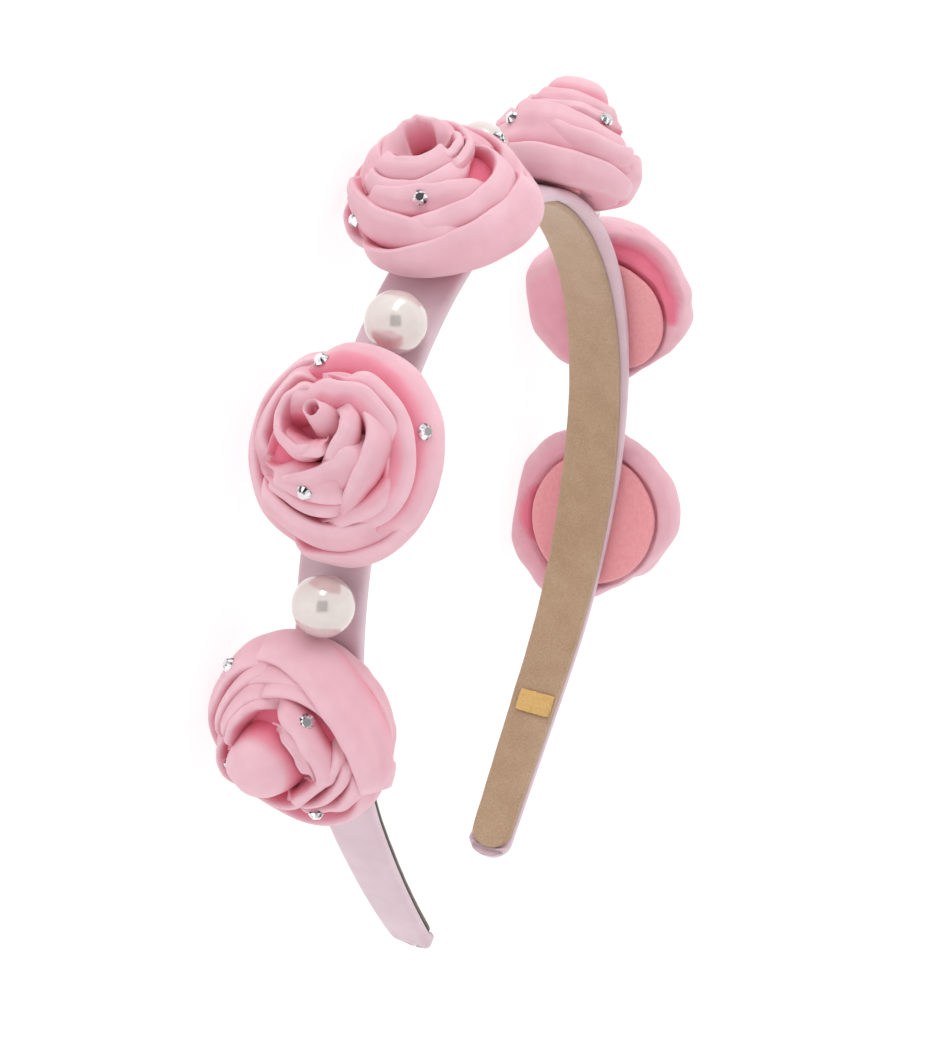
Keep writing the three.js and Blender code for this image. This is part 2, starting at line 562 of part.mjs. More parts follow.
// A hole for a stone, open outwards, with clearance all round it
function stonePocket({ point, turn }) {
  const depth = STONE.sunk + GAP;
  const radius = STONE.radius + GAP;
  const hole = new THREE.CylinderGeometry(radius, radius, depth + STONE.above, STONE.sides);
  hole.rotateX(Math.PI / 2).translate(0, 0, (STONE.above - depth) / 2);
  return solidFrom(hole.applyQuaternion(turn).translate(...point.toArray()));
}

// A flat-backed cut stone: girdle, eight crown facets and a table
function makeStone() {
  const { radius, table, girdle, height, sides } = STONE;
  const profile = [[0, 0], [radius, 0], [radius, girdle], [table, height], [0, height]];
  const stone = new THREE.LatheGeometry(profile.map(([x, y]) => new THREE.Vector2(x, y)), sides);
  return stone.rotateX(Math.PI / 2).translate(0, 0, -STONE.sunk);
}

function makePearl() {
  return new THREE.SphereGeometry(PEARL.radius, PEARL.sides, PEARL.rows);
}

// The assembly

function namedMesh(name, geometry, material) {
  const mesh = new THREE.Mesh(geometry, material);
  mesh.name = name;
  return mesh;
}

const hoop = new THREE.Group();
hoop.add(namedMesh("band", makeBand(), MATERIALS.bandSatin));
hoop.add(namedMesh("lining", makeLining(), MATERIALS.suede));
hoop.add(namedMesh("gold_tab", makeTab(), MATERIALS.gold));

for (const rose of ROSES) {
  const seat = seatOn(new THREE.Group(), LEGS[rose.leg], rose.arc, rose.forward);
  const whole = makeRose(rose);
  const seats = stoneSeats(rose, whole);
  const pocketed = mainBody(seats.reduce((solid, place) => solid.subtract(stonePocket(place)), whole));
  seat.add(namedMesh("rose_" + rose.name, geometryFrom(pocketed), MATERIALS.roseSatin));
  seat.add(namedMesh("backing_" + rose.name, makeBacking(rose), MATERIALS.felt));
  seats.forEach(({ point, turn }, index) => {
    const stone = namedMesh("stone_" + rose.name + (index + 1), makeStone(), MATERIALS.crystal);
    stone.position.copy(point);
    stone.quaternion.copy(turn);
    seat.add(stone);
  });
  hoop.add(seat);
}

for (const { name, leg, arc, forward } of PEARLS) {
  const seat = seatOn(new THREE.Group(), LEGS[leg], arc, forward);
  const pearl = namedMesh("pearl_" + name, makePearl(), MATERIALS.pearl);
  pearl.position.z = PEARL.radius + GAP;
  seat.add(pearl);
  hoop.add(seat);
}

// The origin is on the table, under the middle of the whole headband
const headband = new THREE.Group();
headband.add(hoop);
headband.updateMatrixWorld(true);
const middle = new THREE.Box3().setFromObject(headband, true).getCenter(new THREE.Vector3());
hoop.position.set(-middle.x, -middle.y, HOOP_HEIGHT);

export default headband;
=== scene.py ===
"""Flower headband: satin roses, pearls and cut stones on a satin-covered hoop, dressed over the CAD frame."""

import math
from bisect import bisect_right
from types import SimpleNamespace as Sizes

import bpy
from mathutils import Matrix, Vector, noise
from mathutils.bvhtree import BVHTree


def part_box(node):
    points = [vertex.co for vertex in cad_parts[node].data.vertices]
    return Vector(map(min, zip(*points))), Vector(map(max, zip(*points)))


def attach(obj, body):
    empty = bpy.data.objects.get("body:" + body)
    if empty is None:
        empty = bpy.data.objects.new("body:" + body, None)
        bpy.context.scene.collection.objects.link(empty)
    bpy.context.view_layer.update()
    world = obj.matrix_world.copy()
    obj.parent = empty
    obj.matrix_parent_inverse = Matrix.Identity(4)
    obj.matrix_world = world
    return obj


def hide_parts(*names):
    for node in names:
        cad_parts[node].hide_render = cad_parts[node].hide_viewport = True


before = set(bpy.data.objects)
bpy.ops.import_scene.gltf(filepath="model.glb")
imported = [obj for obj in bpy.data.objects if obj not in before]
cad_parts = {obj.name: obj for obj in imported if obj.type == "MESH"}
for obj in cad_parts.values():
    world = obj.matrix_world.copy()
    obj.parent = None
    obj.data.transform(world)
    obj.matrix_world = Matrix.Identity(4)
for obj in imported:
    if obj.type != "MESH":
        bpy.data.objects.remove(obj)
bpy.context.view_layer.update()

MM = 0.001  # the tables below are in millimetres and degrees, and Blender works in metres


def table(columns, *rows, **usual):
    """A table's rows by column name. A row may end with what it changes in the usual further columns."""
    made = []
    for row in rows:
        named = dict(usual, **dict(zip(columns.split(), row)))
        if isinstance(row[-1], dict):
            named.update(row[-1])
        made.append(Sizes(**named))
    return made


# The hoop's two legs, from the crown to their tips. tail_lift is how far a tip lies above the crown's level,
# and lining_margin is how far short of the tip the lining stops.
LEGS = {
    "right": Sizes(
        side=1,
        tail_lift=0.7,
        lining_margin=1.8,
        arcs=table(
            "stretch length turn",
            ("crown", 28, 31), ("shoulder", 57, 52.5), ("side", 61, 43), ("tail", 41, 1),
        ),
    ),
    "left": Sizes(
        side=-1,
        tail_lift=1.6,
        lining_margin=3,
        arcs=table(
            "stretch length turn",
            ("crown", 28, 31), ("shoulder", 57, 52.5), ("side", 55, 36.5), ("tail", 48, 8),
        ),
    ),
}
LIFT_FROM = 0.4  # the share of a leg where its tail starts to lift

BAND = Sizes(crown_width=13.4, side_width=12.5, tip_width=8.8, side_share=0.55, thickness=2.3, step=1.6)
BAND_OUTLINE = table(
    "across depth",
    (-1, 0.52), (-0.975, 0.3), (-0.9, 0.14), (-0.75, 0.06), (-0.4, 0.01), (0, 0), (0.4, 0.01), (0.75, 0.06),
    (0.9, 0.14), (0.975, 0.3), (1, 0.52), (0.99, 0.8), (0.94, 0.99), (0.5, 1), (-0.5, 1), (-0.94, 0.99),
    (-0.99, 0.8),
)
BAND_SATIN = Sizes(
    ripple=0.05, fine_ripple=0.03, pleat=0.22, pleats=9, gathered=(11, 1), thinned=0.35, thin=(4, 0),
    outer_face=(0.9, 0.4), inner_face=(0.6, 0.97),
)
# The rounded end of the band and of the lining, and the satin gathered there, past the end of the lining
TIP = Sizes(power=2.5, root=0.44, blunt=0.012, degrees=6)
TIP_ROLL = Sizes(starts=(0.3, 1.3), stays_near_tip=(12, 7), pleat=0.3, across=3.1, along=0.6)

LINING = Sizes(
    crown_inset=2.8, tail_inset=0.3, widens=(20, 135), narrowest=0.2, gap=0.3, thickness=0.8,
    cut_width=10.6, step=1.8, uneven=0.09, swell=0.05,
)
# dark is the share of painted shade on the lining's cut edges and underside, where it meets the band.
LINING_OUTLINE = table(
    "across depth dark",
    (-1, -0.3, 0.9), (-0.5, -0.3, 0.9), (0.5, -0.3, 0.9), (1, -0.3, 0.9), (1, 0.15, 0.9), (0.99, 0.6, 0.7),
    (0.965, 0.88, 0.1), (0.9, 1, 0), (0.45, 1, 0), (0, 1, 0), (-0.45, 1, 0), (-0.9, 1, 0),
    (-0.965, 0.88, 0.1), (-0.99, 0.6, 0.7), (-1, 0.15, 0.9),
)
LINING_EDGE_SHADE = Sizes(starts=(112, 126), least=0.05, most=1.1)  # the cut edges are painted dark as shade: faintly along the hoop, near black on the left tail

TAB = Sizes(
    arc=154, length=4.6, width=7.6, thickness=0.5, forward=0.7, gap=0.3, rows=26, columns=36, fray=0.16,
    fine_fray=0.08, crease=0.07, middle=0.75, rounded=0.5,
)
BACKING = Sizes(
    gap=0.3, thickness=1.2, sides=84, steps=16, inner=0.02, outer=0.95, spread=0.93, cut=0.012, fuzz=0.04,
)
BACKING_EDGE = [(0.98, 0.9), (1, 0.6), (0.995, 0.3), (0.97, 0.06)]  # shares of radius and thickness
PEARLS = ["crown", "left_high", "left_low", "right_high", "right_low"]
PEARL = Sizes(
    radius=5.2, rings=48, sides=72, hole=0.3, hole_depth=2.5, rim=0.45, rim_depth=0.25, tip=0.05,
    uneven=0.004,
)
HOOP_SEARCH = Sizes(step=0.5, steps=380)  # places along a leg that are tried to find a pearl's own
STONE = Sizes(
    radius=1.35, table=0.7, girdle=0.3, height=1.1, sides=8, back_share=0.96, main_out=0.45,
    main_down=0.4,
)
PRESS = Sizes(level=0.6, start=6, reach=14, most=1.2, beside=5.5, below=3.5, above=2.5, flat=0.9)

# Folds of each kind of rose, from the heart outwards. begin and end are degrees round the rose, seen from
# outside, from the table's up direction. reach is how far the rim lies from the rose's tip, along its side,
# at five even places along the fold. rise is how far the rim stands proud. face and last are the width of
# satin beside the rim at the fold's two ends: below the rim where positive, and above it, on a flared fold,
# where negative.
FOLD_COLUMNS = "fold begin end reach rise face last"
# Further columns, with what they usually say. inside is how deep in a crevice a flared fold's inside lies.
# opens and closes are the shares of the fold over which it rises and sinks at its two ends, and sink is how
# far down those ends lie. deep is a share of the tuck in the fold's section.
# inside and deep change no shape: they only set painted crevice shade in the satin's colour.
FOLD_USUAL = {"inside": 0, "opens": 0.24, "closes": 0.24, "sink": 3.2, "deep": 1}
FOLDS = {
    "cupped": table(
        FOLD_COLUMNS,
        ("back petal", 214, 40, (4.8, 3.6, 2.8, 2.6, 3.2), 1.5, 9, 5, {"deep": 0.6}),
        ("inner lip", -170, 14, (6.6, 6.6, 5.8, 4.6, 3.6), 1, 6, 4),
        ("first tuck", -52, 56, (6, 5.8, 5.5, 5.3, 5), 0.9, 1.8, 2),
        ("second tuck", -44, 48, (8.2, 7.6, 7.3, 7.1, 6.8), 0.8, 1.8, 2),
        ("second lip", -172, 4, (11, 10.8, 9.8, 8, 6.8), 0.8, 5, 4),
        ("stone fold", -150, 8, (14.5, 12, 10.4, 10.9, 13.4), 0.9, 6, 5),
        ("back lip", 48, 232, (11, 10, 9.4, 9.6, 10), 0.4, 5, 6),
        ("back fold", 24, 222, (14.8, 13.6, 13.6, 13.6, 13), 0.5, 7, 7, {"opens": 0.12}),
        ("hollow fold", 56, -108, (5.5, 12, 13.6, 15, 17), 1.3, 6, 6),
        ("wide fold", -190, -22, (17.5, 15.6, 15.2, 16.2, 17.4), 1.1, 8, 6),
        ("back wrap", 30, 228, (17, 18, 18.5, 19, 20), 1, 11, 11),
        ("front wrap", -152, 58, (25, 21.4, 17.8, 16.6, 18), 1.2, 9, 11),
        ("low wrap", -112, -238, (25, 23.4, 22.4, 21.6, 21), 0.8, 8, 8),
        **FOLD_USUAL,
    ),
    "fanned": table(
        FOLD_COLUMNS,
        ("cup", 70, 306, (2.8, 5.6, 6.8, 4.4, 2.4), 1.6, 3.5, 3),
        ("lip", -182, -36, (9.8, 7.6, 5.9, 5.1, 4), 1, -3.4, -2.2, {"inside": 0.3}),
        ("post fold", 104, -98, (4.6, 4.4, 4, 4.4, 8), 1, 4, 4, {"opens": 0.5}),
        ("stone fold", -156, 12, (16.4, 9.6, 6.5, 6.1, 8), 0.8, 4, 7),
        ("stone edge", -150, -42, (17, 13.1, 12.4, 12.4, 13), 0.6, -5, -6, {"inside": 0.1}),
        ("crescent", -152, -52, (19.5, 15.3, 14.5, 14.7, 15), 0.3, -3, -3, {"inside": 0.6}),
        ("slanted fold", 110, -94, (6.8, 8, 8.2, 9.8, 17.2), 1.1, 9, 3, {"opens": 0.6}),
        ("slanted edge", 26, -96, (15, 16.4, 16.4, 16.2, 18), 0.5, -4, -2, {"inside": 0.2, "opens": 0.45}),
        ("long fold", 206, -28, (15.5, 6.4, 6.9, 11.7, 17.2), 1.3, -4, -5, {"inside": 0.5}),
        ("inner wrap", 104, -86, (13, 12.6, 16, 18.5, 18.4), 1.3, -5, -4, {"inside": 0.6, "closes": 0.36}),
        ("left fold", 214, 112, (15.6, 13.2, 12, 12, 13), 0.3, 5, 5),
        ("bottom fold", -164, -8, (18.8, 15.4, 15.9, 17.4, 19.5), 1, 8, 6, {"closes": 0.5}),
        ("right wrap", 150, -72, (19, 21, 22, 22.4, 23.5), 0.9, -9, -6, {"inside": 0.7}),
        ("bottom wrap", -130, 14, (25, 22, 21.3, 21.6, 22.5), 0.8, 7, 7, {"closes": 0.5}),
        ("left wrap", 84, 262, (15, 15.6, 16.4, 18, 21), 0.4, 11, 11),
        **FOLD_USUAL,
    ),
    "capped": table(
        FOLD_COLUMNS,
        ("inner fold", 84, -26, (7.6, 7, 6.8, 7.2, 8.6), -0.8, 3, 3),
        ("left gable", 184, 78, (8, 7.4, 8.8, 10.4, 12.4), 1.2, 2.6, 2.6),
        ("gable strip", 182, 82, (10.4, 9.1, 10.1, 11.6, 13.6), 0.9, 5, 5),
        ("right gable", 100, -38, (12.2, 9.6, 8.9, 9.7, 9), 1.2, 5, 4),
        ("under cap", -30, -215, (10, 10.6, 11, 11, 11), 0.6, 7, 7),
        ("first fan", 34, -76, (15.2, 12, 9.2, 8.2, 8.8), 0.9, 3.5, 3.5),
        ("stone fold", 118, 26, (11.2, 12.8, 13.9, 14.5, 15), 0.8, 5, 5),
        ("second fan", 24, -82, (15.4, 13.4, 12.2, 11.4, 11.4), 0.9, 3.5, 3.5),
        ("crown fold", 140, 40, (12.8, 14.6, 15.4, 15.9, 16.4), 0.8, 5, 5),
        ("third fan", 12, -96, (15.4, 15.6, 15.2, 14.9, 15.4), 0.9, 5, 5),
        ("left fold", 198, 80, (11.4, 12, 13, 15.6, 20), 0.9, 5, 5),
        ("left wrap", 78, 246, (19, 17.4, 16, 16.2, 17), 1, 11, 11),
        ("bottom wrap", -14, -172, (19, 19, 18.6, 19, 20), 2, 9, 11),
        ("great wrap", 150, -62, (20.5, 18, 14.6, 16, 23), 1.6, 12, 9),
        ("corner", 2, -36, (22.5, 23.2, 23.6, 24, 25.5), 0.7, -4, -4, {"inside": 0.3}),
        **FOLD_USUAL,
    ),
    "pointed": table(
        FOLD_COLUMNS,
        ("cap fold", -156, 26, (8.6, 9.2, 9, 10.4, 10.4), 0.4, 4, 4),
        ("back cap fold", 8, 228, (9, 9.5, 10, 10, 9.5), 0.9, 6, 6),
        ("second fold", -150, 8, (13, 13.8, 12.4, 12.4, 12.2), 0.7, 3, 3),
        ("slanted fold", -158, 18, (14, 14.2, 14.8, 16.9, 18.8), 1, 11, 7),
        ("back slanted", 20, 238, (14, 14.5, 14.5, 14.5, 14), 0.9, 7, 7),
        ("curved fold", -116, 8, (15, 17, 19, 19.4, 18), 2, 4, 5, {"opens": 0.6, "sink": 0.2}),
        ("front wrap", -164, 38, (26, 23, 22, 24, 28.5), 1.1, 10, 9),
        ("far wrap", -18, 118, (18, 19, 19.5, 20, 20), 1, 11, 11),
        ("near wrap", 88, 228, (18, 19, 20, 20.5, 21), 1, 10, 10),
        **FOLD_USUAL,
    ),
}
FOLD = Sizes(
    degrees_per_station=3, fewest=12, end_width=0.6, flat_per_degree=0.24, rim_wander=0.35,
    rise_wander=0.4, slack=0.4, crease=0.45,
)
# Section of a fold, round its closed outline. along is from the rim, as a distance plus a share of the face.
# proud is from the rose's side, as a distance plus a share of the rise. tuck is how deep in a crevice it is,
# and sets how much painted crevice shade it gets.
FOLD_SECTION = table(
    "along face proud rise tuck",
    (1.8, 0, -4.2, 0, 1),
    (0.7, 0, -2.7, 0.3, 0.9),
    (0, 0, -1.6, 0.8, 0.65),
    (-0.26, 0, -0.85, 1, 0.35),
    (-0.24, 0, -0.4, 1, 0.12),
    (-0.1, 0, -0.1, 1, 0),
    (0.2, 0, 0.04, 1, 0),
    (0.6, 0.02, 0.02, 0.97, 0),
    (0.6, 0.16, 0, 0.83, 0),
    (0.4, 0.36, 0, 0.6, 0),
    (0.1, 0.58, -0.1, 0.3, 0.1),
    (0, 0.78, -0.5, 0.08, 0.35),
    (0, 0.93, -1.4, 0, 0.8),
    (0, 1, -3, 0, 1),
    (0.8, 0.72, -4.2, 0, 1),
    (1.8, 0.3, -4.6, 0, 1),
)
RIM_TUCK = 0.14  # the tuck value of plain satin; a rim has less, and is painted paler there as a highlight

# The heart of each kind of rose: a rolled tube with a hollow, or a rounded cap with none. tip and foot are
# how far its two ends lie from the rose's tip, up from the table and round the hoop.
BUDS = {
    "cupped": Sizes(radius=2, proud=-7, hollow=1.2, tip=(0, 0), foot=(0, 0)),
    "fanned": Sizes(radius=1.5, proud=1, hollow=2.6, tip=(-0.9, 1.7), foot=(1.4, -1)),
    "capped": Sizes(radius=5.3, proud=0.3, hollow=0, tip=(-1.5, -1.4), foot=(-0.8, -0.8)),
    "pointed": Sizes(radius=5.4, proud=-0.3, hollow=0, tip=(0, 0.4), foot=(0, 0)),
}
BUD = Sizes(depth=8, sides=56, steps=3, eased=0.4, uneven=0.08, spiral=0.35, flat_per_degree=0.05)
# Side views of a heart, from its foot. out is a share of its radius, and up is measured from its top. tuck is
# how much painted crevice shade it gets.
BUD_COLUMNS = "out up tuck"
TUBE = table(
    BUD_COLUMNS,
    (2.2, -8, 1), (1.9, -5, 0.6), (1.45, -2.6, 0.1), (1.12, -1, 0), (1, -0.25, 0), (0.9, 0, 0),
    (0.78, -0.2, 0.1), (0.7, -0.8, 0.5),
)
TUBE_HOLLOW = 0.6  # share of the radius at the bottom of the hollow
CAP = table(
    BUD_COLUMNS,
    (1.25, -8, 1), (1.18, -5, 0.9), (1.1, -3.4, 0.5), (1, -2.1, 0.06), (0.86, -1.15, 0), (0.66, -0.5, 0),
    (0.4, -0.14, 0), (0.12, 0, 0),
)

# below is how far a rose reaches under its widest place, and sag is how far it follows the band. sole is how
# proud its last wrap stands. disc is the felt disc's radius, disc_long its stretch round the hoop, and disc_up
# its shift. gap is an open tuck under the rose: its middle and half in degrees, and how far along the rose's
# side it starts.
ROSES = table(
    "name leg arc kind radius height forward lean turn below sag sole disc disc_long disc_up gap",
    ("a", "left", 20, "cupped", 16.6, 19.5, 0.5, (-3.5, 0), 0, 5.6, 0, -1.8, 10.5, 1, 0, None),
    ("b", "left", 66.5, "fanned", 17.2, 19.5, 1.2, (1, 5.5), 0, 7, 0.5, -1.8, 12, 1, 0, None),
    ("c", "left", 109.8, "capped", 16.8, 20.5, -0.3, (-1, 0), 0, 7, 0.4, -1.8, 11.5, 1, 0, None),
    ("d", "right", 22, "pointed", 14.6, 21.5, 0.5, (0, 0), 0, 7.8, 0.6, -1.8, 5, 1, 0, None),
    ("e", "right", 66, "pointed", 17.4, 20, -0.8, (0, 0), 130, 7.4, 0.6, 1.2, 10.2, 1.32, 4, (-50, 58, 24.2)),
    ("f", "right", 113, "capped", 18, 19, -0.2, (0, 0), -60, 7.4, 0.6, 1, 13.9, 1, 1.2, (172, 40, 29.4)),
)
ROSE_SEED = Sizes(first=20, step=15)
DOME = Sizes(widest=5, bluntness=1.5, under_bluntness=3, points=120, swing=160, end=0.01)
CORE = Sizes(
    tip=0.5, first=1.5, step=1.2, rings=25, sides=48, flat_step=1.5, sink=2.1, heart_sink=5,
    heart=(4, 13),
)
# Where a rose's outline is pulled in or out: the middle and half of the stretch in degrees, and by how much
PULLS = {
    "e": table("angle half by", (-135, 50, -4), (-60, 40, 1.5), (45, 45, -2)),
    "f": table("angle half by", (44, 66, -3.2)),
}
PULL_HEIGHTS = (14, 6)  # none above the first, full below the second
SAG_HEIGHTS = (12, 4)  # likewise
SADDLE_SHARE = 0.7  # share of a rose's radius at which the band's round under it is measured
# The last wrap of a rose, by distance from its tip: where it starts, where it turns under, and its relief
SOLE = Sizes(
    shown_from=17, hidden_from=22, to=36.4, rings=33, sides=120, flat_step=0.9, taper=4, buried=4,
    under=(27, 32), under_least=0.5, under_tuck=0.34, slack=0.5, ripple=0.3, crumple=0.5, pleat=0.22,
    pleats=0.8,
)
# The open tuck in a sole, in distances and in shares of its half width
GAP = Sizes(
    round_end=6, edge=1.2, full=0.8, dip=2.6, dip_from=0.95, dip_to=0.35, draw=0.2, draw_full=0.4,
    draw_heights=(6, 2.5),
)
# How a rose is squashed on its felt disc, on the band beside the disc, and on the table
SEAT = Sizes(beside_disc=0.2, disc_inner=0.1, disc_outer=0.9, soft=1.5, table_soft=1.3)

# The photograph's camera, measured about the middle of the upright hoop, whose crown is 72.1 mm above it
CAMERA = Sizes(azimuth=-65.33, elevation=22.51, roll=4.28, distance=422.8, right=-0.61, up=7.60)
LENS = Sizes(focal_px=2254, image_height_px=1046, sensor=36, nearest_m=0.01)
CROWN_ABOVE_MIDDLE = 72.1
FLOOR_HALF_M = 6.0
TENT = Sizes(strength=1.1, opening_edge=0.3, white_from=0.44, opening=(0.2, 0.2, 0.205), least_front=0.001)
# Square soft lights in metres and watts, placed from the middle of the hoop along the photograph's directions
LIGHTS = table(
    "name right up back size power",
    ("top_light", -0.1, 0.65, 0.3, 0.6, 3.6),
    ("left_light", -0.5, 0.4, 0.5, 0.5, 2.2),
)


def leg_length(leg):
    return sum(arc.length for arc in leg.arcs)


def lining_end(leg):
    return leg_length(leg) - leg.lining_margin


def hoop_at(leg, arc):
    """The point on the hoop's outer face this far from the crown, and the way out of the hoop there."""
    x = y = heading = 0.0
    remaining = arc
    for stretch in leg.arcs:
        run = min(remaining, stretch.length)
        half = math.radians(run / stretch.length * stretch.turn) / 2
        chord = run * math.sin(half) / half if half > 0 else run
        x += chord * math.cos(heading + half)
        y -= chord * math.sin(heading + half)
        heading += 2 * half
        remaining -= run
    tail = max(0.0, arc / leg_length(leg) - LIFT_FROM) / (1 - LIFT_FROM)
    point = Vector((leg.side * x, y, leg.tail_lift * tail * tail))
    outward = Vector((leg.side * math.sin(heading), math.cos(heading), 0))
    return point, outward


band_low, band_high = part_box("band")
HOOP_ORIGIN = Vector(((band_low[0] + band_high[0]) / 2, band_high[1], (band_low[2] + band_high[2]) / 2)) / MM


def clamp(value):
    return min(1.0, max(0.0, value))


def smooth(low, high, value):
    share = clamp((value - low) / (high - low))
    return share * share * (3 - 2 * share)


def mix(a, b, share):
    return a + (b - a) * share


def through(values, share):
    """A smooth curve through values that are spaced evenly."""
    last = len(values) - 1
    i = min(int(share * last), last - 1)
    t = share * last - i
    p1, p2 = values[i], values[i + 1]
    p0 = values[i - 1] if i > 0 else 2 * p1 - p2
    p3 = values[i + 2] if i + 2 <= last else 2 * p2 - p1
    return catmull(p0, p1, p2, p3, t)


def catmull(p0, p1, p2, p3, t):
    """A smooth step from p1 to p2 whose slopes follow p0 and p3."""
    square = (2 * p0 - 5 * p1 + 4 * p2 - p3) * t * t
    cube = (3 * p1 - p0 - 3 * p2 + p3) * t * t * t
    return 0.5 * (2 * p1 + (p2 - p0) * t + square + cube)


def wander(x, y, seed):
    """Smooth seeded noise between about -1 and 1."""
    return noise.noise(Vector((x, y, seed * 7.31 + 0.5)))


def spline(rows, steps):
    """A closed smooth curve through a table's rows, with this many points between two rows."""
    count = len(rows)
    made = []
    for i in range(count):
        four = [vars(rows[(i + shift) % count]) for shift in (-1, 0, 1, 2)]
        for step in range(steps):
            point = {key: catmull(*(row[key] for row in four), step / steps) for key in four[0]}
            made.append(Sizes(**point))
    return made


class Shell:
    """Collects closed shells, with a flat position in millimetres and a tuck value for each point, which the
    satin and suede materials read as painted light and shade.
    """

    def __init__(self):
        self.points = []
        self.flats = []
        self.tucks = []
        self.faces = []

    def add(self, point, flat, tuck=0.0):
        self.points.append(point)
        self.flats.append(flat)
        self.tucks.append(tuck)

    def loft(self, rings):
        """A closed skin over rings of corners, each a point, a flat position and perhaps a tuck value."""
        first = len(self.points)
        count = len(rings[0])
        for ring in rings:
            for corner in ring:
                self.add(*corner)
        faces = []
        for row in range(len(rings) - 1):
            for i in range(count):
                a = first + row * count + i
                b = first + row * count + (i + 1) % count
                faces.append((a, b, b + count, a + count))
        for start, flip in ((first, True), (first + (len(rings) - 1) * count, False)):
            middle = Vector((0, 0, 0))
            for point in self.points[start:start + count]:
                middle += point / count
            centre = len(self.points)
            self.add(middle, self.flats[start], sum(self.tucks[start:start + count]) / count)
            for i in range(count):
                a = start + i
                b = start + (i + 1) % count
                faces.append((b, a, centre) if flip else (a, b, centre))
        volume = 0.0
        for face in faces:
            p = [self.points[i] for i in face]
            for i in range(1, len(p) - 1):
                volume += p[0].dot(p[i].cross(p[i + 1]))
        if volume < 0:
            faces = [tuple(reversed(face)) for face in faces]
        self.faces.extend(faces)

    def build(self, name, node, slot, place=Matrix.Identity(4), sharp=False):
        """The finished piece, which stands for its CAD node. Its flat map has one unit for each 10 mm."""
        mesh = bpy.data.meshes.new(name)
        corners = [(place @ point) * MM for point in self.points]
        mesh.from_pydata(corners, [], self.faces)
        attribute = mesh.attributes.new("tuck", "FLOAT", "POINT")
        attribute.data.foreach_set("value", self.tucks)
        flat_map = mesh.uv_layers.new(name="flat")
        for loop in mesh.loops:
            flat = self.flats[loop.vertex_index]
            flat_map.data[loop.index].uv = (flat[0] * 0.1, flat[1] * 0.1)
        for polygon in mesh.polygons:
            polygon.use_smooth = not sharp
        mesh.materials.append(MATERIALS[slot])
        mesh.update()
        made = bpy.data.objects.new(name, mesh)
        bpy.context.scene.collection.objects.link(made)
        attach(made, "root")
        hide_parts(node)
        return made


# Materials

def feed(socket, value):
    """Another node's output is linked to a socket, and a number, position or colour is set on it."""
    if isinstance(value, bpy.types.NodeSocket):
        socket.id_data.links.new(value, socket)
    else:
        socket.default_value = value


def fill(made, **inputs):
    """Feeds a node's inputs by name, with an underscore for each space."""
    for name, value in inputs.items():
        feed(made.inputs[name.replace("_", " ")], value)


def node(tree, kind, **inputs):
    made = tree.nodes.new(kind)
    fill(made, **inputs)
    return made


def new_material(name, **settings):
    """A material with one Principled shader, with constants set on the shader's own sockets."""
    made = bpy.data.materials.new(name)
    made.use_nodes = True
    shader = made.node_tree.nodes["Principled BSDF"]
    fill(shader, **settings)
    return made, made.node_tree, shader


def object_place(tree):
    return node(tree, "ShaderNodeTexCoord").outputs["Object"]


def flat_place(tree):
    made = tree.nodes.new("ShaderNodeUVMap")
    made.uv_map = "flat"
    return made.outputs["UV"]


def painted_shading_value(tree):
    made = tree.nodes.new("ShaderNodeAttribute")
    made.attribute_name = "tuck"
    return made.outputs["Fac"]


def noise_texture(tree, source, scale, detail=3.0, rough=0.55, stretch=(1, 1, 1), unit=1000, turn=0):
    """Noise with a grain of about 1/scale of a millimetre, where a source in metres has a unit of 1000."""
    stretches = [part * unit for part in stretch]
    mapping = node(tree, "ShaderNodeMapping", Vector=source, Scale=stretches, Rotation=(0, 0, turn))
    place = mapping.outputs["Vector"]
    made = node(tree, "ShaderNodeTexNoise", Vector=place, Scale=scale, Detail=detail, Roughness=rough)
    return made.outputs["Fac"]


def ramp(tree, source, stops):
    made = node(tree, "ShaderNodeValToRGB", Fac=source)
    elements = made.color_ramp.elements
    while len(elements) < len(stops):
        elements.new(0.5)
    for element, (place, colour) in zip(elements, stops):
        element.position = place
        element.color = (*colour, 1)
    return made.outputs["Color"]


NOISE_LOW, NOISE_HIGH = 0.3, 0.7  # noise lies between these, with few exceptions


def two_tones(tree, source, low, high):
    return ramp(tree, source, [(NOISE_LOW, low), (NOISE_HIGH, high)])


def spread(tree, source, low, high):
    made = node(tree, "ShaderNodeMapRange", Value=source, From_Min=NOISE_LOW, From_Max=NOISE_HIGH)
    fill(made, To_Min=low, To_Max=high)
    return made.outputs["Result"]


def blend_colours(tree, share, first, second, kind="MIX"):
    made = tree.nodes.new("ShaderNodeMix")
    made.data_type = "RGBA"
    made.blend_type = kind
    for socket, value in ((0, share), (6, first), (7, second)):
        feed(made.inputs[socket], value)
    return made.outputs[2]


def maths(tree, operation, first, second=0.0):
    made = tree.nodes.new("ShaderNodeMath")
    made.operation = operation
    feed(made.inputs[0], first)
    feed(made.inputs[1], second)
    return made.outputs[0]


def weighted(tree, *parts):
    """The sum of (output, weight) pairs."""
    total = None
    for source, weight in parts:
        part = maths(tree, "MULTIPLY", source, weight)
        total = part if total is None else maths(tree, "ADD", total, part)
    return total


def threads(tree, flat, count):
    """Fine woven threads: two crossed waves, read from the flat map."""
    waves = []
    for direction in ("X", "Y"):
        made = node(tree, "ShaderNodeTexWave", Vector=flat, Scale=count, Distortion=0.6, Detail=1.0)
        made.bands_direction = direction
        waves.append(made.outputs["Fac"])
    return maths(tree, "ADD", waves[0], waves[1])


def bump(tree, height, strength, distance):
    return node(tree, "ShaderNodeBump", Height=height, Strength=strength, Distance=distance).outputs["Normal"]


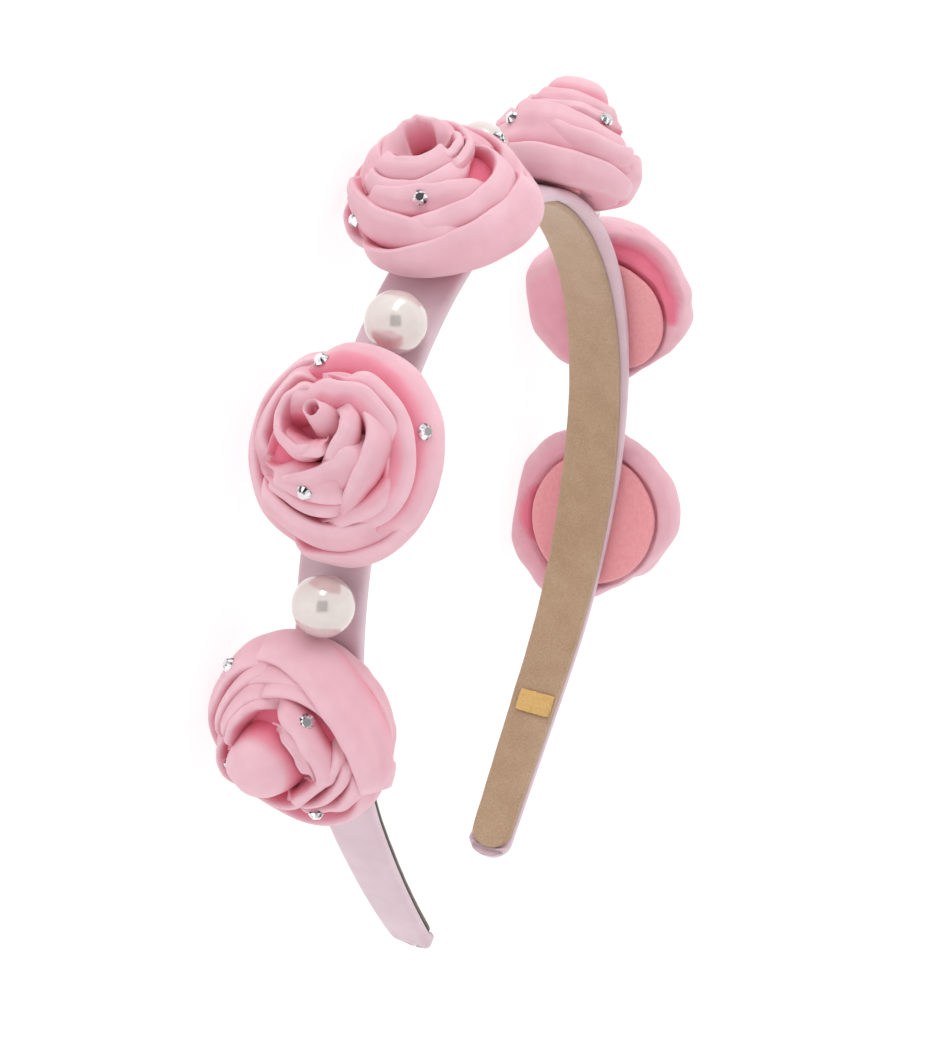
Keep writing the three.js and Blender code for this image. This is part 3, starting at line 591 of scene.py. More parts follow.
def rose_satin():
    made, tree, shader = new_material(
        "rose_satin", Roughness=0.58, Specular_IOR_Level=0.32, Sheen_Weight=0.25, Sheen_Roughness=0.45
    )
    place = object_place(tree)
    flat = flat_place(tree)
    tone = two_tones(tree, noise_texture(tree, place, 0.22, 3), (0.76, 0.415, 0.485), (0.81, 0.468, 0.538))
    # The tuck value paints light and shade into the colour: paler at the rims as a painted highlight, and
    # pinker, deepening towards crimson, down in crevices as painted shade.
    pale, plain, painted_crevice_shade, painted_deepest_shade = (1.04, 1.12, 1.1), (1, 1, 1), (1, 0.66, 0.74), (1, 0.4, 0.53)
    deep = ramp(tree, painted_shading_value(tree), [(0, pale), (RIM_TUCK, plain), (0.5, painted_crevice_shade), (0.95, painted_deepest_shade)])
    grain = noise_texture(tree, place, 7, 2, 0.6)
    slack = noise_texture(tree, place, 0.6, 2, 0.5)
    weave = threads(tree, flat, 30)
    drag_lines = noise_texture(tree, flat, 1.0, 2, 0.5, stretch=(1.1, 7, 1), unit=1, turn=0.12)
    colour = blend_colours(tree, 1.0, tone, deep, "MULTIPLY")
    height = weighted(tree, (grain, 0.2), (weave, 0.06), (slack, 0.5), (drag_lines, 0.5))
    relief = bump(tree, height, strength=0.3, distance=0.0005)
    fill(shader, Base_Color=colour, Roughness=spread(tree, grain, 0.5, 0.66), Normal=relief)
    return made


def band_satin():
    made, tree, shader = new_material(
        "band_satin", Roughness=0.4, Specular_IOR_Level=0.45, Sheen_Weight=0.3, Sheen_Roughness=0.35
    )
    place = object_place(tree)
    tone = two_tones(tree, noise_texture(tree, place, 0.12, 3), (0.63, 0.455, 0.515), (0.70, 0.52, 0.578))
    grain = noise_texture(tree, place, 5, 2, 0.6)
    weave = threads(tree, flat_place(tree), 26)
    slack = noise_texture(tree, place, 0.5, 2, 0.5)
    relief = bump(tree, weighted(tree, (weave, 0.08), (slack, 0.5)), strength=0.22, distance=0.0004)
    fill(shader, Base_Color=tone, Roughness=spread(tree, grain, 0.34, 0.5), Normal=relief)
    return made


def suede():
    made, tree, shader = new_material(
        "suede", Roughness=0.92, Specular_IOR_Level=0.2, Sheen_Weight=0.35, Sheen_Roughness=0.6
    )
    place = object_place(tree)
    nap = noise_texture(tree, place, 3.2, 4, 0.7)
    tone = two_tones(tree, noise_texture(tree, place, 0.16, 4), (0.465, 0.305, 0.19), (0.53, 0.365, 0.24))
    fleck = ramp(tree, nap, [(0.35, (0.8, 0.78, 0.76)), (0.62, (1.06, 1.05, 1.04))])
    colour = blend_colours(tree, 1.0, tone, fleck, "MULTIPLY")
    # The lining's cut edges are painted near black as shade, by the tuck attribute.
    painted_edge_shade = (0.02, 0.013, 0.01, 1)
    colour = blend_colours(tree, painted_shading_value(tree), colour, painted_edge_shade)
    relief = bump(tree, nap, strength=0.5, distance=0.0003)
    fill(shader, Base_Color=colour, Roughness=spread(tree, nap, 0.85, 0.98), Normal=relief)
    return made


def felt():
    made, tree, shader = new_material(
        "felt", Roughness=0.9, Specular_IOR_Level=0.2, Sheen_Weight=0.4, Sheen_Roughness=0.6
    )
    fibre = noise_texture(tree, object_place(tree), 2.4, 4, 0.7, stretch=(1, 0.4, 0.7))
    tone = two_tones(tree, fibre, (0.80, 0.30, 0.335), (0.88, 0.38, 0.405))
    relief = bump(tree, fibre, strength=0.5, distance=0.0004)
    fill(shader, Base_Color=tone, Roughness=spread(tree, fibre, 0.82, 0.96), Normal=relief)
    return made


def gold():
    made, tree, shader = new_material("gold", Metallic=0.85, Roughness=0.36)
    worn = noise_texture(tree, object_place(tree), 2.6, 4, 0.6)
    tone = two_tones(tree, worn, (0.62, 0.39, 0.14), (0.76, 0.52, 0.22))
    weave = threads(tree, flat_place(tree), 14)
    relief = bump(tree, weighted(tree, (weave, 0.2), (worn, 1)), strength=0.3, distance=0.0002)
    fill(shader, Base_Color=tone, Roughness=spread(tree, worn, 0.34, 0.46), Normal=relief)
    return made


def pearl():
    made, tree, shader = new_material(
        "pearl", Metallic=0.4, Roughness=0.16, Specular_IOR_Level=0.6, Coat_Weight=0.8, Coat_Roughness=0.04
    )
    lustre = noise_texture(tree, object_place(tree), 0.35, 3)
    tone = two_tones(tree, lustre, (0.69, 0.61, 0.58), (0.75, 0.68, 0.65))
    relief = bump(tree, lustre, strength=0.05, distance=0.0003)
    fill(shader, Base_Color=tone, Roughness=spread(tree, lustre, 0.12, 0.2), Normal=relief)
    return made


def crystal():
    """Each facet's tone is painted from the way that it faces: dark, grey and bright facets are painted
    reflections and glints.
    """
    made, tree, shader = new_material(
        "crystal", Metallic=0.9, Roughness=0.05, Coat_Weight=1.0, Coat_Roughness=0.02
    )
    facing = node(tree, "ShaderNodeNewGeometry").outputs["True Normal"]
    painted_glint = noise_texture(tree, facing, 0.0024, 1)
    dark, grey, bright = (0.05, 0.045, 0.05), (0.5, 0.48, 0.5), (0.96, 0.96, 0.97)
    tone = ramp(tree, painted_glint, [(0.4, dark), (0.48, grey), (0.56, bright)])
    fill(shader, Base_Color=tone, Roughness=spread(tree, painted_glint, 0.03, 0.08))
    return made


MATERIALS = {make.__name__: make() for make in (rose_satin, band_satin, suede, felt, gold, pearl, crystal)}

# The hoop's pieces

def half_width_at(leg, arc, stop):
    """Half of the band's width, rounded off towards the end of a strip that stops at the given arc."""
    share = arc / leg_length(leg)
    if share < BAND.side_share:
        width = mix(BAND.crown_width, BAND.side_width, share / BAND.side_share)
    else:
        past_side = (share - BAND.side_share) / (1 - BAND.side_share)
        width = mix(BAND.side_width, BAND.tip_width, past_side)
    tip = BAND.tip_width / 2
    past = max(0.0, arc - (stop - tip)) / tip
    return width / 2 * max(TIP.blunt, 1 - past ** TIP.power) ** TIP.root


def lining_edges(leg, arc, stop):
    """The lining's two edges across the band. The margin of satin in front is wider towards the crown."""
    half = half_width_at(leg, arc, stop)
    front = mix(LINING.crown_inset, LINING.tail_inset, smooth(*LINING.widens, arc))
    low = -max(LINING.narrowest / 2, half - LINING.tail_inset)
    return low, max(low + LINING.narrowest, half - front)


def hoop_stations(lined, step):
    """Legs and arcs from the left tip over the crown to the right tip, closer together at the tips."""
    stations = []
    tip = BAND.tip_width / 2
    for name in ("left", "right"):
        leg = LEGS[name]
        stop = lining_end(leg) if lined else leg_length(leg)
        straight = stop - tip
        steps = round(straight / step)
        arcs = [straight * (i + 0.5) / (steps + 0.5) for i in range(steps + 1)]
        arcs += [straight + tip * math.sin(math.radians(a)) for a in range(TIP.degrees, 91, TIP.degrees)]
        row = [(leg, arc, stop) for arc in arcs]
        stations += reversed(row) if leg.side < 0 else row
    return stations


def hoop_point(leg, arc, depth, across):
    point, outward = hoop_at(leg, arc)
    return HOOP_ORIGIN + point - outward * depth + Vector((0, 0, across))


def tip_roll(leg, arc, across):
    """How far the satin gathered round a tip swells inwards, past the end of the lining."""
    end = lining_end(leg)
    if arc < end:
        past = max(0.0, abs(across) - half_width_at(leg, arc, end))
    else:
        past = arc - end
    pleat = 1 + TIP_ROLL.pleat * math.sin(across * TIP_ROLL.across + arc * TIP_ROLL.along)
    return smooth(*TIP_ROLL.starts, past) * smooth(*TIP_ROLL.stays_near_tip, leg_length(leg) - arc) * pleat


def make_band():
    """The satin-covered hoop, with small pleats where the satin is gathered over the tips."""
    outline = spline(BAND_OUTLINE, 2)
    satin = BAND_SATIN
    rings = []
    for leg, arc, stop in hoop_stations(False, BAND.step):
        half = half_width_at(leg, arc, stop)
        way = arc * leg.side
        gather = smooth(*satin.gathered, stop - arc)
        thin = BAND.thickness * (1 - satin.thinned * smooth(*satin.thin, stop - arc))
        ring = []
        for place in outline:
            across = place.across * half
            face = smooth(*satin.outer_face, place.depth)
            ripple = satin.ripple * wander(way * 0.16, across * 0.3, 1)
            ripple += satin.fine_ripple * wander(way * 0.5, across * 0.2, 2)
            pleats = math.sin(place.across * satin.pleats + wander(way * 0.3, 0, 3) * 2)
            pleat = satin.pleat * gather * pleats * face
            depth = BAND.thickness - thin * (1 - place.depth) - (ripple + pleat) * face
            depth += tip_roll(leg, arc, across) * smooth(*satin.inner_face, place.depth)
            ring.append((hoop_point(leg, arc, depth, across), (way, across + 3 * place.depth)))
        rings.append(ring)
    shell = Shell()
    shell.loft(rings)
    shell.build("band_cover", "band", "band_satin")


def make_lining():
    """The suede ribbon glued along the hoop's inner face, with its cut edges painted dark as shade, near black
    on the left tail.
    """
    outline = spline(LINING_OUTLINE, 2)
    rings = []
    top = BAND.thickness + LINING.gap
    for leg, arc, stop in hoop_stations(True, LINING.step):
        low, high = lining_edges(leg, arc, stop)
        way = arc * leg.side
        # Painted shade on the cut edges: faint along the hoop, near black along the left tail.
        edge_shade = smooth(*LINING_EDGE_SHADE.starts, arc) if leg.side < 0 else 0.0
        edge_shade = mix(LINING_EDGE_SHADE.least, LINING_EDGE_SHADE.most, edge_shade)
        ring = []
        for place in outline:
            edge = 1 if place.across > 0 else -1
            uneven = LINING.uneven * wander(way * 0.22, edge * 5, 4) * smooth(0.6, 1.0, abs(place.across))
            across = mix(low, high, (place.across + 1) / 2) + uneven * edge
            swell = LINING.swell * wander(way * 0.12, across * 0.2, 5) * place.depth
            depth = top + place.depth * (LINING.thickness + swell)
            ring.append((hoop_point(leg, arc, depth, across), (way, across), edge_shade * clamp(place.dark)))
        rings.append(ring)
    shell = Shell()
    shell.loft(rings)
    made = shell.build("lining_ribbon", "lining", "suede")


def make_tab():
    """The small bare gold tab near one end of the lining, with an uneven cut edge."""
    leg = LEGS["right"]
    top = BAND.thickness + LINING.gap + LINING.thickness + TAB.gap
    rings = []
    for i in range(TAB.rows + 1):
        down = i / TAB.rows * 2 - 1
        outer, inner = [], []
        for j in range(TAB.columns + 1):
            side = j / TAB.columns * 2 - 1
            fray = TAB.fray * wander(down * 6, side * 9, 6) + TAB.fine_fray * wander(down * 17, side * 21, 7)
            arc = TAB.arc + down * (TAB.length / 2 + fray * abs(down) ** 6)
            across = TAB.forward + side * (TAB.width / 2 + fray * abs(side) ** 6)
            crease = TAB.crease * wander(down * 1.6, side * 2.2, 8)
            rounded = TAB.rounded * max(abs(down), abs(side)) ** 14
            thick = TAB.thickness * (TAB.middle - rounded * 0.5) + crease
            inner.append((hoop_point(leg, arc, top, across), (arc, across)))
            outer.append((hoop_point(leg, arc, top + thick, across), (arc, across)))
        rings.append(outer + inner[::-1])
    shell = Shell()
    shell.loft(rings)
    shell.build("gold_tab_plate", "gold_tab", "gold")


# The roses

def rose_seat(rose):
    """A rose's own frame: x is up from the table, y runs round the hoop, z points out of the hoop."""
    point, outward = hoop_at(LEGS[rose.leg], rose.arc)
    up = Vector((0, 0, 1))
    made = Matrix((up, outward.cross(up), outward)).transposed().to_4x4()
    made.translation = HOOP_ORIGIN + point + up * rose.forward
    return made


def saddle_radius(rose):
    """Radius of the round that the band makes under a rose."""
    leg = LEGS[rose.leg]
    seat, outward = hoop_at(leg, rose.arc)
    radii = []
    for way in (-1, 1):
        away = hoop_at(leg, rose.arc + way * rose.radius * SADDLE_SHARE)[0] - seat
        radii.append(away.length_squared / (-2 * away.dot(outward)))
    return sum(radii) / 2


def saddle_height(radius, raised, y):
    """Height of a round that follows the band under a rose, raised above it."""
    wide = radius + raised
    return math.sqrt(max(0.0, wide * wide - y * y)) - radius


def dome_of(rose):
    """The rose's side view: a function from distance from its tip, and how proud, to radius and height."""
    curve = []
    for i in range(DOME.points + 1):
        swing = math.radians(i / DOME.points * DOME.swing)
        upper = swing <= math.pi / 2
        power = 2 / (DOME.bluntness if upper else DOME.under_bluntness)
        tall = rose.height - DOME.widest if upper else rose.below
        radial = rose.radius * math.sin(swing) ** power
        cosine = math.cos(swing)
        curve.append(Vector((radial, DOME.widest + tall * math.copysign(abs(cosine) ** power, cosine))))
    reaches = [0.0]
    for before, after in zip(curve, curve[1:]):
        reaches.append(reaches[-1] + (after - before).length)
    slopes = []
    for i in range(len(curve)):
        run = curve[min(i + 1, len(curve) - 1)] - curve[max(i - 1, 0)]
        slopes.append(Vector((-run.y, run.x)).normalized())

    def read(reach, proud):
        wanted = min(max(reach, DOME.end), reaches[-1] - DOME.end)
        i = bisect_right(reaches, wanted)
        share = (wanted - reaches[i - 1]) / (reaches[i] - reaches[i - 1])
        outward = slopes[i - 1].lerp(slopes[i], share).normalized()
        return curve[i - 1].lerp(curve[i], share) + outward * proud

    return read


def rose_point(rose, angle, place):
    """A point beside the rose's leaning axis."""
    turned = math.radians(angle + rose.turn)
    share = place.y / rose.height
    pull = 0.0
    for row in PULLS.get(rose.name, []):
        away = abs(math.remainder(angle + rose.turn - row.angle, 360))
        pull += row.by * smooth(row.half, 0, away) * smooth(*PULL_HEIGHTS, place.y)
    radial = max(0.0, place.x) * (1 + pull / rose.radius)
    return Vector((
        radial * math.cos(turned) + rose.lean[0] * share,
        radial * math.sin(turned) + rose.lean[1] * share,
        place.y,
    ))


FOLD_OUTLINE = spline(FOLD_SECTION, 3)


def add_fold(shell, rose, dome, fold, seed):
    """One fold of satin: a rolled rim, and a slack face that tucks under the next fold."""
    sweep = fold.end - fold.begin
    stations = max(FOLD.fewest, math.ceil(abs(sweep) / FOLD.degrees_per_station))
    rings = []
    for i in range(stations + 1):
        share = i / stations
        full = smooth(0, 1, min(share / fold.opens, (1 - share) / fold.closes))
        angle = fold.begin + sweep * share
        way = angle * FOLD.flat_per_degree
        rim = through(fold.reach, share) + FOLD.rim_wander * wander(way * 0.2, 0, seed)
        lift = fold.rise * (1 + FOLD.rise_wander * wander(way * 0.18, 4, seed))
        rise = mix(-fold.sink, lift, full)
        face = mix(fold.face, fold.last, share)
        flare = 1 if face > 0 else -1
        width = abs(face) * mix(FOLD.end_width, 1, full)
        ring = []
        for place in FOLD_OUTLINE:
            reach = rim + flare * (place.along + place.face * width)
            belly = math.sin(math.pi * clamp(place.face)) * full
            slack = FOLD.slack * belly * wander(way * 0.14, reach * 0.12, seed + 0.3)
            crease = FOLD.crease * belly * wander(way * 0.06, reach * 0.55 + way * 0.05, seed + 0.6)
            proud = place.proud + place.rise * rise + slack + crease
            point = rose_point(rose, angle, dome(reach, proud))
            ring.append((point, (way, reach), crevice_shading_of(place, fold, full)))
        rings.append(ring)
    shell.loft(rings)


def crevice_shading_of(place, fold, full):
    """How deep in a crevice a point of a fold lies, which sets its painted shade; the rim gets less than plain
    satin, which paints it paler as a highlight. A flared fold's painted shade deepens all the way to its
    inside.
    """
    plain = RIM_TUCK * smooth(0, 0.3, place.face)
    inside = fold.inside * full * smooth(0.1, 0.85, place.face)
    return min(1.0, max(plain, place.tuck * fold.deep, inside))


def add_core(shell, rose, dome):
    """The wound middle of a rose, under all of its folds, painted all over with the deepest crevice shade."""
    rings = []
    for reach in [CORE.tip] + [CORE.first + CORE.step * i for i in range(CORE.rings)]:
        place = dome(reach, mix(-CORE.heart_sink, -CORE.sink, smooth(*CORE.heart, reach)))
        ring = []
        for i in range(CORE.sides):
            ring.append((rose_point(rose, i * 360 / CORE.sides, place), (i * CORE.flat_step, reach), 1.0))
        rings.append(ring)
    shell.loft(rings)


def draw_in(shell, gap):
    """The lower folds shrink away behind an open tuck."""
    middle, half, _ = gap
    for point in shell.points:
        away = abs(math.remainder(math.degrees(math.atan2(point.y, point.x)) - middle, 360))
        beside = smooth(half, half * GAP.draw_full, away)
        share = 1 - GAP.draw * beside * smooth(*GAP.draw_heights, point.z)
        point.x *= share
        point.y *= share


def add_sole(shell, rose, dome, seed):
    """The last wrap of satin, drawn in under a rose, with an open tuck beside the felt where one shows. Its
    underside and the open tuck are painted with crevice shade.
    """
    rings = []
    shows = rose.sole > 0
    first = SOLE.shown_from if shows else SOLE.hidden_from
    for step in range(SOLE.rings):
        reach = mix(first, SOLE.to, step / (SOLE.rings - 1))
        taper = smooth(first, first + SOLE.taper, reach)
        under = smooth(*SOLE.under, reach)
        level = mix(rose.sole, max(rose.sole, SOLE.under_least), under)
        ring = []
        for i in range(SOLE.sides):
            angle = i * 360 / SOLE.sides
            across, along = math.cos(math.radians(angle)), math.sin(math.radians(angle))
            tuck = dip = 0.0
            if rose.gap is not None:
                middle, half, start = rose.gap
                away = abs(math.remainder(angle - middle, 360))
                edge = start + GAP.round_end * (away / half) ** 2
                tuck = smooth(half, half * GAP.full, away) * smooth(edge, edge + GAP.edge, reach)
                dip = GAP.dip * tuck * smooth(half * GAP.dip_from, half * GAP.dip_to, away)
            slack = SOLE.slack * wander(across * 1.4, along * 1.4, seed + 0.4)
            slack += SOLE.ripple * wander(across * 3, reach * 0.12, seed + 0.5)
            if shows:
                slack += SOLE.crumple * wander(across * 4.5, along * 4.5 + reach * 0.1, seed + 0.9)
            pleats = math.sin(i * SOLE.pleats + 3 * wander(across * 2, along * 2, seed + 0.8))
            pleat = SOLE.pleat * pleats * under
            proud = mix(-SOLE.buried, level, taper) + slack * taper + pleat - dip
            point = rose_point(rose, angle - rose.turn, dome(reach, proud))
            # Painted shade: some under the rose, and more down in the open tuck.
            tuck = max(RIM_TUCK, SOLE.under_tuck * under, tuck)
            ring.append((point, (i * SOLE.flat_step, reach), tuck))
        rings.append(ring)
    shell.loft(rings)


def add_bud(shell, rose):
    """The heart of a rose: a rolled tube with a hollow, or a folded rounded cap."""
    bud = BUDS[rose.kind]
    rolled = bud.hollow > 0
    profile = TUBE + table(BUD_COLUMNS, (TUBE_HOLLOW, -bud.hollow, 1)) if rolled else CAP
    top = rose.height + bud.proud
    rings = []
    for step in range((len(profile) - 1) * BUD.steps + 1):
        i = min(step // BUD.steps, len(profile) - 2)
        t = step / BUD.steps - i
        eased = smooth(0, 1, t) * BUD.eased + t * (1 - BUD.eased)
        ends = zip(vars(profile[i]).values(), vars(profile[i + 1]).values())
        out, up, tuck = (mix(before, after, eased) for before, after in ends)
        down = clamp(-up / BUD.depth)
        shift = [mix(tip, foot, down) for tip, foot in zip(bud.tip, bud.foot)]
        ring = []
        for j in range(BUD.sides):
            angle = j / BUD.sides * 360
            across, along = math.cos(math.radians(angle)), math.sin(math.radians(angle))
            wide = bud.radius * out * (1 + BUD.uneven * wander(across * 1.2, along * 1.2, rose.arc))
            spiral = BUD.spiral * (angle / 360 - 0.5) if rolled else 0.0
            point = Vector((
                wide * across + rose.lean[0] + shift[0],
                wide * along + rose.lean[1] + shift[1],
                top + up + spiral,
            ))
            ring.append((point, (angle * BUD.flat_per_degree, up), tuck))
        rings.append(ring)
    shell.loft(rings)


def stone_place(name):
    """A CAD stone's seat: the middle of its flat back, and the way that it faces, in millimetres."""
    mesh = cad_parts[name].data
    backs = {}
    for polygon in mesh.polygons:
        key = tuple(round(part, 2) for part in polygon.normal)
        backs.setdefault(key, []).append(polygon)
    back = max(backs.values(), key=lambda group: sum(polygon.area for polygon in group))
    corners = {index for polygon in back for index in polygon.vertices}
    middle = Vector((0, 0, 0))
    for index in corners:
        middle += mesh.vertices[index].co / len(corners)
    return middle / MM, -back[0].normal.copy()


def stone_names(rose):
    return sorted(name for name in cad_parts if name.startswith("stone_" + rose.name))


def squashed(height, floor, soft):
    """A height, squashed gently where it comes close to a floor or lies under it."""
    if height < floor + soft:
        return floor + soft * math.exp((height - floor - soft) / soft)
    return height


def make_rose(rose, seed):
    """A wound satin rose in one mesh, squashed gently where it lies on its felt disc and on the table."""
    dome = dome_of(rose)
    shell = Shell()
    add_core(shell, rose, dome)
    add_bud(shell, rose)
    for index, fold in enumerate(FOLDS[rose.kind]):
        add_fold(shell, rose, dome, fold, seed + index)
    if rose.gap is not None:
        draw_in(shell, rose.gap)
    add_sole(shell, rose, dome, seed)
    radius = saddle_radius(rose)
    over_disc = BACKING.gap * 2 + BACKING.thickness
    over_band = BACKING.gap + SEAT.beside_disc
    place = rose_seat(rose)
    for i, point in enumerate(shell.points):
        point.z += rose.sag * saddle_height(radius, 0, point.y) * smooth(*SAG_HEIGHTS, point.z)
        beside = math.hypot(point.x - rose.disc_up, point.y / rose.disc_long)
        past_disc = smooth(rose.disc + SEAT.disc_inner, rose.disc + SEAT.disc_outer, beside)
        floor = saddle_height(radius, mix(over_disc, over_band, past_disc), point.y)
        point.z = squashed(point.z, floor, SEAT.soft)
        placed = place @ point
        placed.z = squashed(placed.z, 0, SEAT.table_soft)
        shell.points[i] = placed
    press_stones(shell, [stone_place(name) for name in stone_names(rose)])
    made = shell.build("satin_rose_" + rose.name, "rose_" + rose.name, "rose_satin")


def press_stones(shell, seats):
    """The satin is drawn to the back of each stone that is glued on it."""
    tree = BVHTree.FromPolygons(shell.points, shell.faces)
    level = STONE.girdle * PRESS.level
    for middle, away in seats:
        hit = tree.ray_cast(middle + away * PRESS.start, -away, PRESS.reach)[0]
        if hit is None:
            continue
        shift = min(PRESS.most, max(-PRESS.most, level - (hit - middle).dot(away)))
        for i, point in enumerate(shell.points):
            offset = point - middle
            depth = offset.dot(away)
            beside = (offset - away * depth).length
            if beside < PRESS.beside and -PRESS.below < depth - level + shift < PRESS.above + abs(shift):
                share = smooth(PRESS.beside, STONE.radius * PRESS.flat, beside)
                shell.points[i] = point + away * (shift * share)


def make_backing(rose):
    """The felt disc between a rose and the band."""
    radius = saddle_radius(rose)
    steps = range(BACKING.steps + 1)
    profile = [(BACKING.inner + BACKING.spread * i / BACKING.steps, 1.0) for i in steps]
    profile += BACKING_EDGE
    profile += [(BACKING.outer - BACKING.spread * i / BACKING.steps, 0.0) for i in steps]
    rings = []
    for share, level in profile:
        ring = []
        for j in range(BACKING.sides):
            turned = j / BACKING.sides * math.tau
            uneven = wander(math.cos(turned) * 2.5, math.sin(turned) * 2.5, rose.arc + 3)
            cut = 1 - BACKING.cut + BACKING.cut * uneven
            x = rose.disc * share * cut * math.cos(turned) + rose.disc_up
            y = rose.disc * share * cut * math.sin(turned) * rose.disc_long
            fuzz = BACKING.fuzz * wander(x * 0.8, y * 0.8, rose.arc)
            raised = BACKING.gap + BACKING.thickness * level + fuzz
            ring.append((Vector((x, y, saddle_height(radius, raised, y))), (x, y)))
        rings.append(ring)
    shell = Shell()
    shell.loft(rings)
    name = "backing_" + rose.name
    made = shell.build("felt_" + name, name, "felt", rose_seat(rose))


def facing(direction, middle):
    """A frame whose z points in a direction."""
    made = Vector((0, 0, 1)).rotation_difference(direction).to_matrix().to_4x4()
    made.translation = middle
    return made


def make_stone(name):
    """A flat-backed cut stone with a girdle, star, main and girdle facets, and a table."""
    middle, away = stone_place(name)
    sides = STONE.sides
    double = sides * 2
    main_out = mix(STONE.table, STONE.radius, STONE.main_out)
    main_up = mix(STONE.height, STONE.girdle, STONE.main_down)
    levels = table(
        "out up half count",
        (STONE.radius * STONE.back_share, 0.0, 0.0, double),
        (STONE.radius, STONE.girdle, 0.0, double),
        (main_out, main_up, 0.5, sides),
        (STONE.table, STONE.height, 0.0, sides),
    )
    shell = Shell()
    rings = []
    for level in levels:
        ring = []
        for i in range(level.count):
            turned = (i + level.half) / level.count * math.tau
            point = Vector((level.out * math.cos(turned), level.out * math.sin(turned), level.up))
            ring.append(len(shell.points))
            shell.add(point, (point.x, point.y))
        rings.append(ring)
    back, girdle, main, top = rings
    faces = [tuple(reversed(back)), tuple(top)]
    for i in range(double):
        j = (i + 1) % double
        faces.append((back[i], back[j], girdle[j], girdle[i]))
    for i in range(sides):
        j = (i + 1) % sides
        low, between, high = girdle[2 * i], girdle[2 * i + 1], girdle[(2 * i + 2) % double]
        faces += [(low, between, main[i]), (between, high, main[i])]
        faces.append((top[i], main[i], top[j]))
        faces.append((high, main[j], top[j], main[i]))
    shell.faces = faces
    shell.build("cut_" + name, name, "crystal", facing(away, middle), sharp=True)


def make_pearl(name):
    """A round pearl, drilled where it is glued to the band, with a slightly uneven skin."""
    low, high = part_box("pearl_" + name)
    middle = Vector([(a + b) / 2 for a, b in zip(low, high)]) / MM
    tried = [hoop_at(LEGS[leg], i * HOOP_SEARCH.step) for leg in LEGS for i in range(HOOP_SEARCH.steps)]
    nearest = min(tried, key=lambda found: (HOOP_ORIGIN + found[0] - middle).length)
    radius = PEARL.radius
    profile = []
    for step in range(PEARL.rings + 1):
        turn = math.radians(-90 + step * 180 / PEARL.rings)
        profile.append((radius * math.cos(turn), radius * math.sin(turn)))
    profile[0] = (PEARL.hole, PEARL.hole_depth - radius)
    profile[1] = (PEARL.rim, PEARL.rim_depth - radius)
    profile[-1] = (PEARL.tip, radius)
    rings = []
    for out, up in profile:
        ring = []
        for j in range(PEARL.sides):
            turned = j / PEARL.sides * math.tau
            spot = Vector((out * math.cos(turned), out * math.sin(turned), up))
            skin = 1 + PEARL.uneven * noise.noise(spot * 0.4 + middle)
            ring.append((spot * skin, (turned * 5, up)))
        rings.append(ring)
    shell = Shell()
    shell.loft(rings)
    shell.build("round_pearl_" + name, "pearl_" + name, "pearl", facing(nearest[1], middle))


make_band()
make_lining()
make_tab()
for index, rose in enumerate(ROSES):
    make_rose(rose, ROSE_SEED.first + index * ROSE_SEED.step)
    make_backing(rose)
    for name in stone_names(rose):
        make_stone(name)
for name in PEARLS:
    make_pearl(name)

# Camera, floor and light

def from_upright(direction):
    """From the upright hoop, with z up and y away, to the headband lying on its side."""
    return Vector((direction.x, direction.z, -direction.y))


def camera_axes():
    """The photograph's own right, up and back."""
    azimuth, elevation = math.radians(CAMERA.azimuth), math.radians(CAMERA.elevation)
    level_share = math.cos(elevation)
    back = Vector((math.sin(azimuth) * level_share, -math.cos(azimuth) * level_share, math.sin(elevation)))
    level = Vector((math.cos(azimuth), math.sin(azimuth), 0))
    raised = back.cross(level)
    roll = math.radians(CAMERA.roll)
    right = level * math.cos(roll) + raised * math.sin(roll)
    up = raised * math.cos(roll) - level * math.sin(roll)
    return from_upright(right), from_upright(up), from_upright(back)


RIGHT, UP, BACK = camera_axes()
MIDDLE = HOOP_ORIGIN - Vector((0, CROWN_ABOVE_MIDDLE, 0))


def make_camera():
    lens = bpy.data.cameras.new("photo_camera")
    lens.sensor_fit = "VERTICAL"
    lens.sensor_height = LENS.sensor
    lens.lens = LENS.sensor * LENS.focal_px / LENS.image_height_px
    lens.clip_start = LENS.nearest_m
    made = bpy.data.objects.new("photo_camera", lens)
    place = Matrix((RIGHT, UP, BACK)).transposed().to_4x4()
    place.translation = (MIDDLE + BACK * CAMERA.distance + RIGHT * CAMERA.right + UP * CAMERA.up) * MM
    made.matrix_world = place
    bpy.context.scene.collection.objects.link(made)
    bpy.context.scene.camera = made


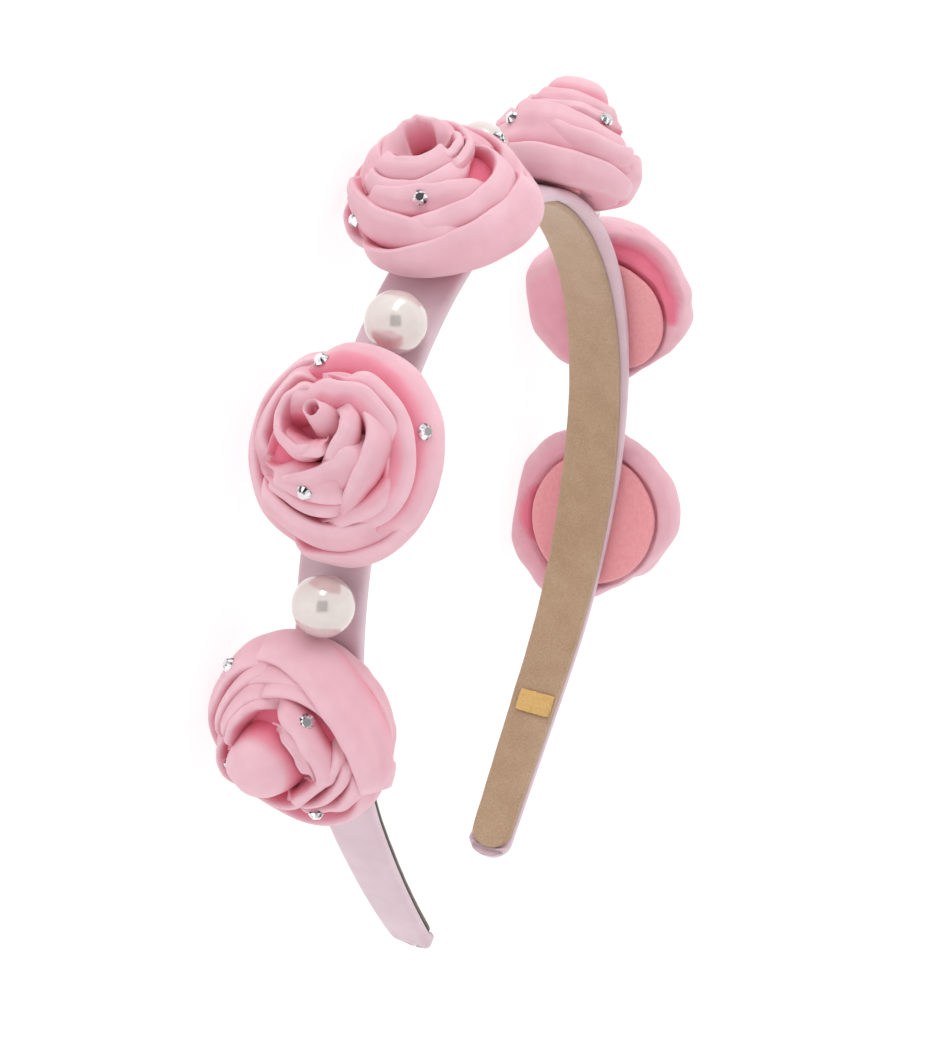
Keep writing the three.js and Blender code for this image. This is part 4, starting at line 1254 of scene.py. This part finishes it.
def make_floor():
    """A pale floor that glows a little, so that it shows as white as the photograph's background."""
    floor_material, tree, shader = new_material(
        "pale_floor", Roughness=0.9, Specular_IOR_Level=0.1,
        Emission_Color=(1, 1, 1, 1), Emission_Strength=0.75,
    )
    cloud = noise_texture(tree, object_place(tree), 0.02, 2)
    tone = two_tones(tree, cloud, (0.34, 0.34, 0.34), (0.36, 0.36, 0.36))
    fill(shader, Base_Color=tone)
    mesh = bpy.data.meshes.new("floor")
    corners = [(x * FLOOR_HALF_M, y * FLOOR_HALF_M, 0) for x, y in ((-1, -1), (1, -1), (1, 1), (-1, 1))]
    mesh.from_pydata(corners, [], [(0, 1, 2, 3)])
    mesh.materials.append(floor_material)
    made = bpy.data.objects.new("floor", mesh)
    bpy.context.scene.collection.objects.link(made)


def make_light(light):
    lamp = bpy.data.lights.new(light.name, "AREA")
    lamp.shape = "SQUARE"
    lamp.size = light.size
    lamp.energy = light.power
    made = bpy.data.objects.new(light.name, lamp)
    away = RIGHT * light.right + UP * light.up + BACK * light.back
    made.location = MIDDLE * MM + away
    made.rotation_euler = away.to_track_quat("Z", "Y").to_euler()
    bpy.context.scene.collection.objects.link(made)


def make_world():
    """A white light tent with a grey opening on the side that the photograph was taken from."""
    world = bpy.data.worlds.new("light_tent")
    world.use_nodes = True
    tree = world.node_tree
    direction = node(tree, "ShaderNodeTexCoord").outputs["Generated"]
    parts = []
    for axis in (RIGHT, UP, BACK):
        made = tree.nodes.new("ShaderNodeVectorMath")
        made.operation = "DOT_PRODUCT"
        feed(made.inputs[0], direction)
        feed(made.inputs[1], axis)
        parts.append(made.outputs["Value"])
    wide = maths(tree, "MAXIMUM", maths(tree, "ABSOLUTE", parts[0]), maths(tree, "ABSOLUTE", parts[1]))
    front = maths(tree, "MAXIMUM", parts[2], TENT.least_front)
    stops = [(TENT.opening_edge, TENT.opening), (TENT.white_from, (1, 1, 1))]
    opening = ramp(tree, maths(tree, "DIVIDE", wide, front), stops)
    fill(tree.nodes["Background"], Color=opening, Strength=TENT.strength)
    bpy.context.scene.world = world


make_camera()
make_floor()
make_world()
for light in LIGHTS:
    make_light(light)
bpy.context.scene.view_settings.view_transform = "Standard"
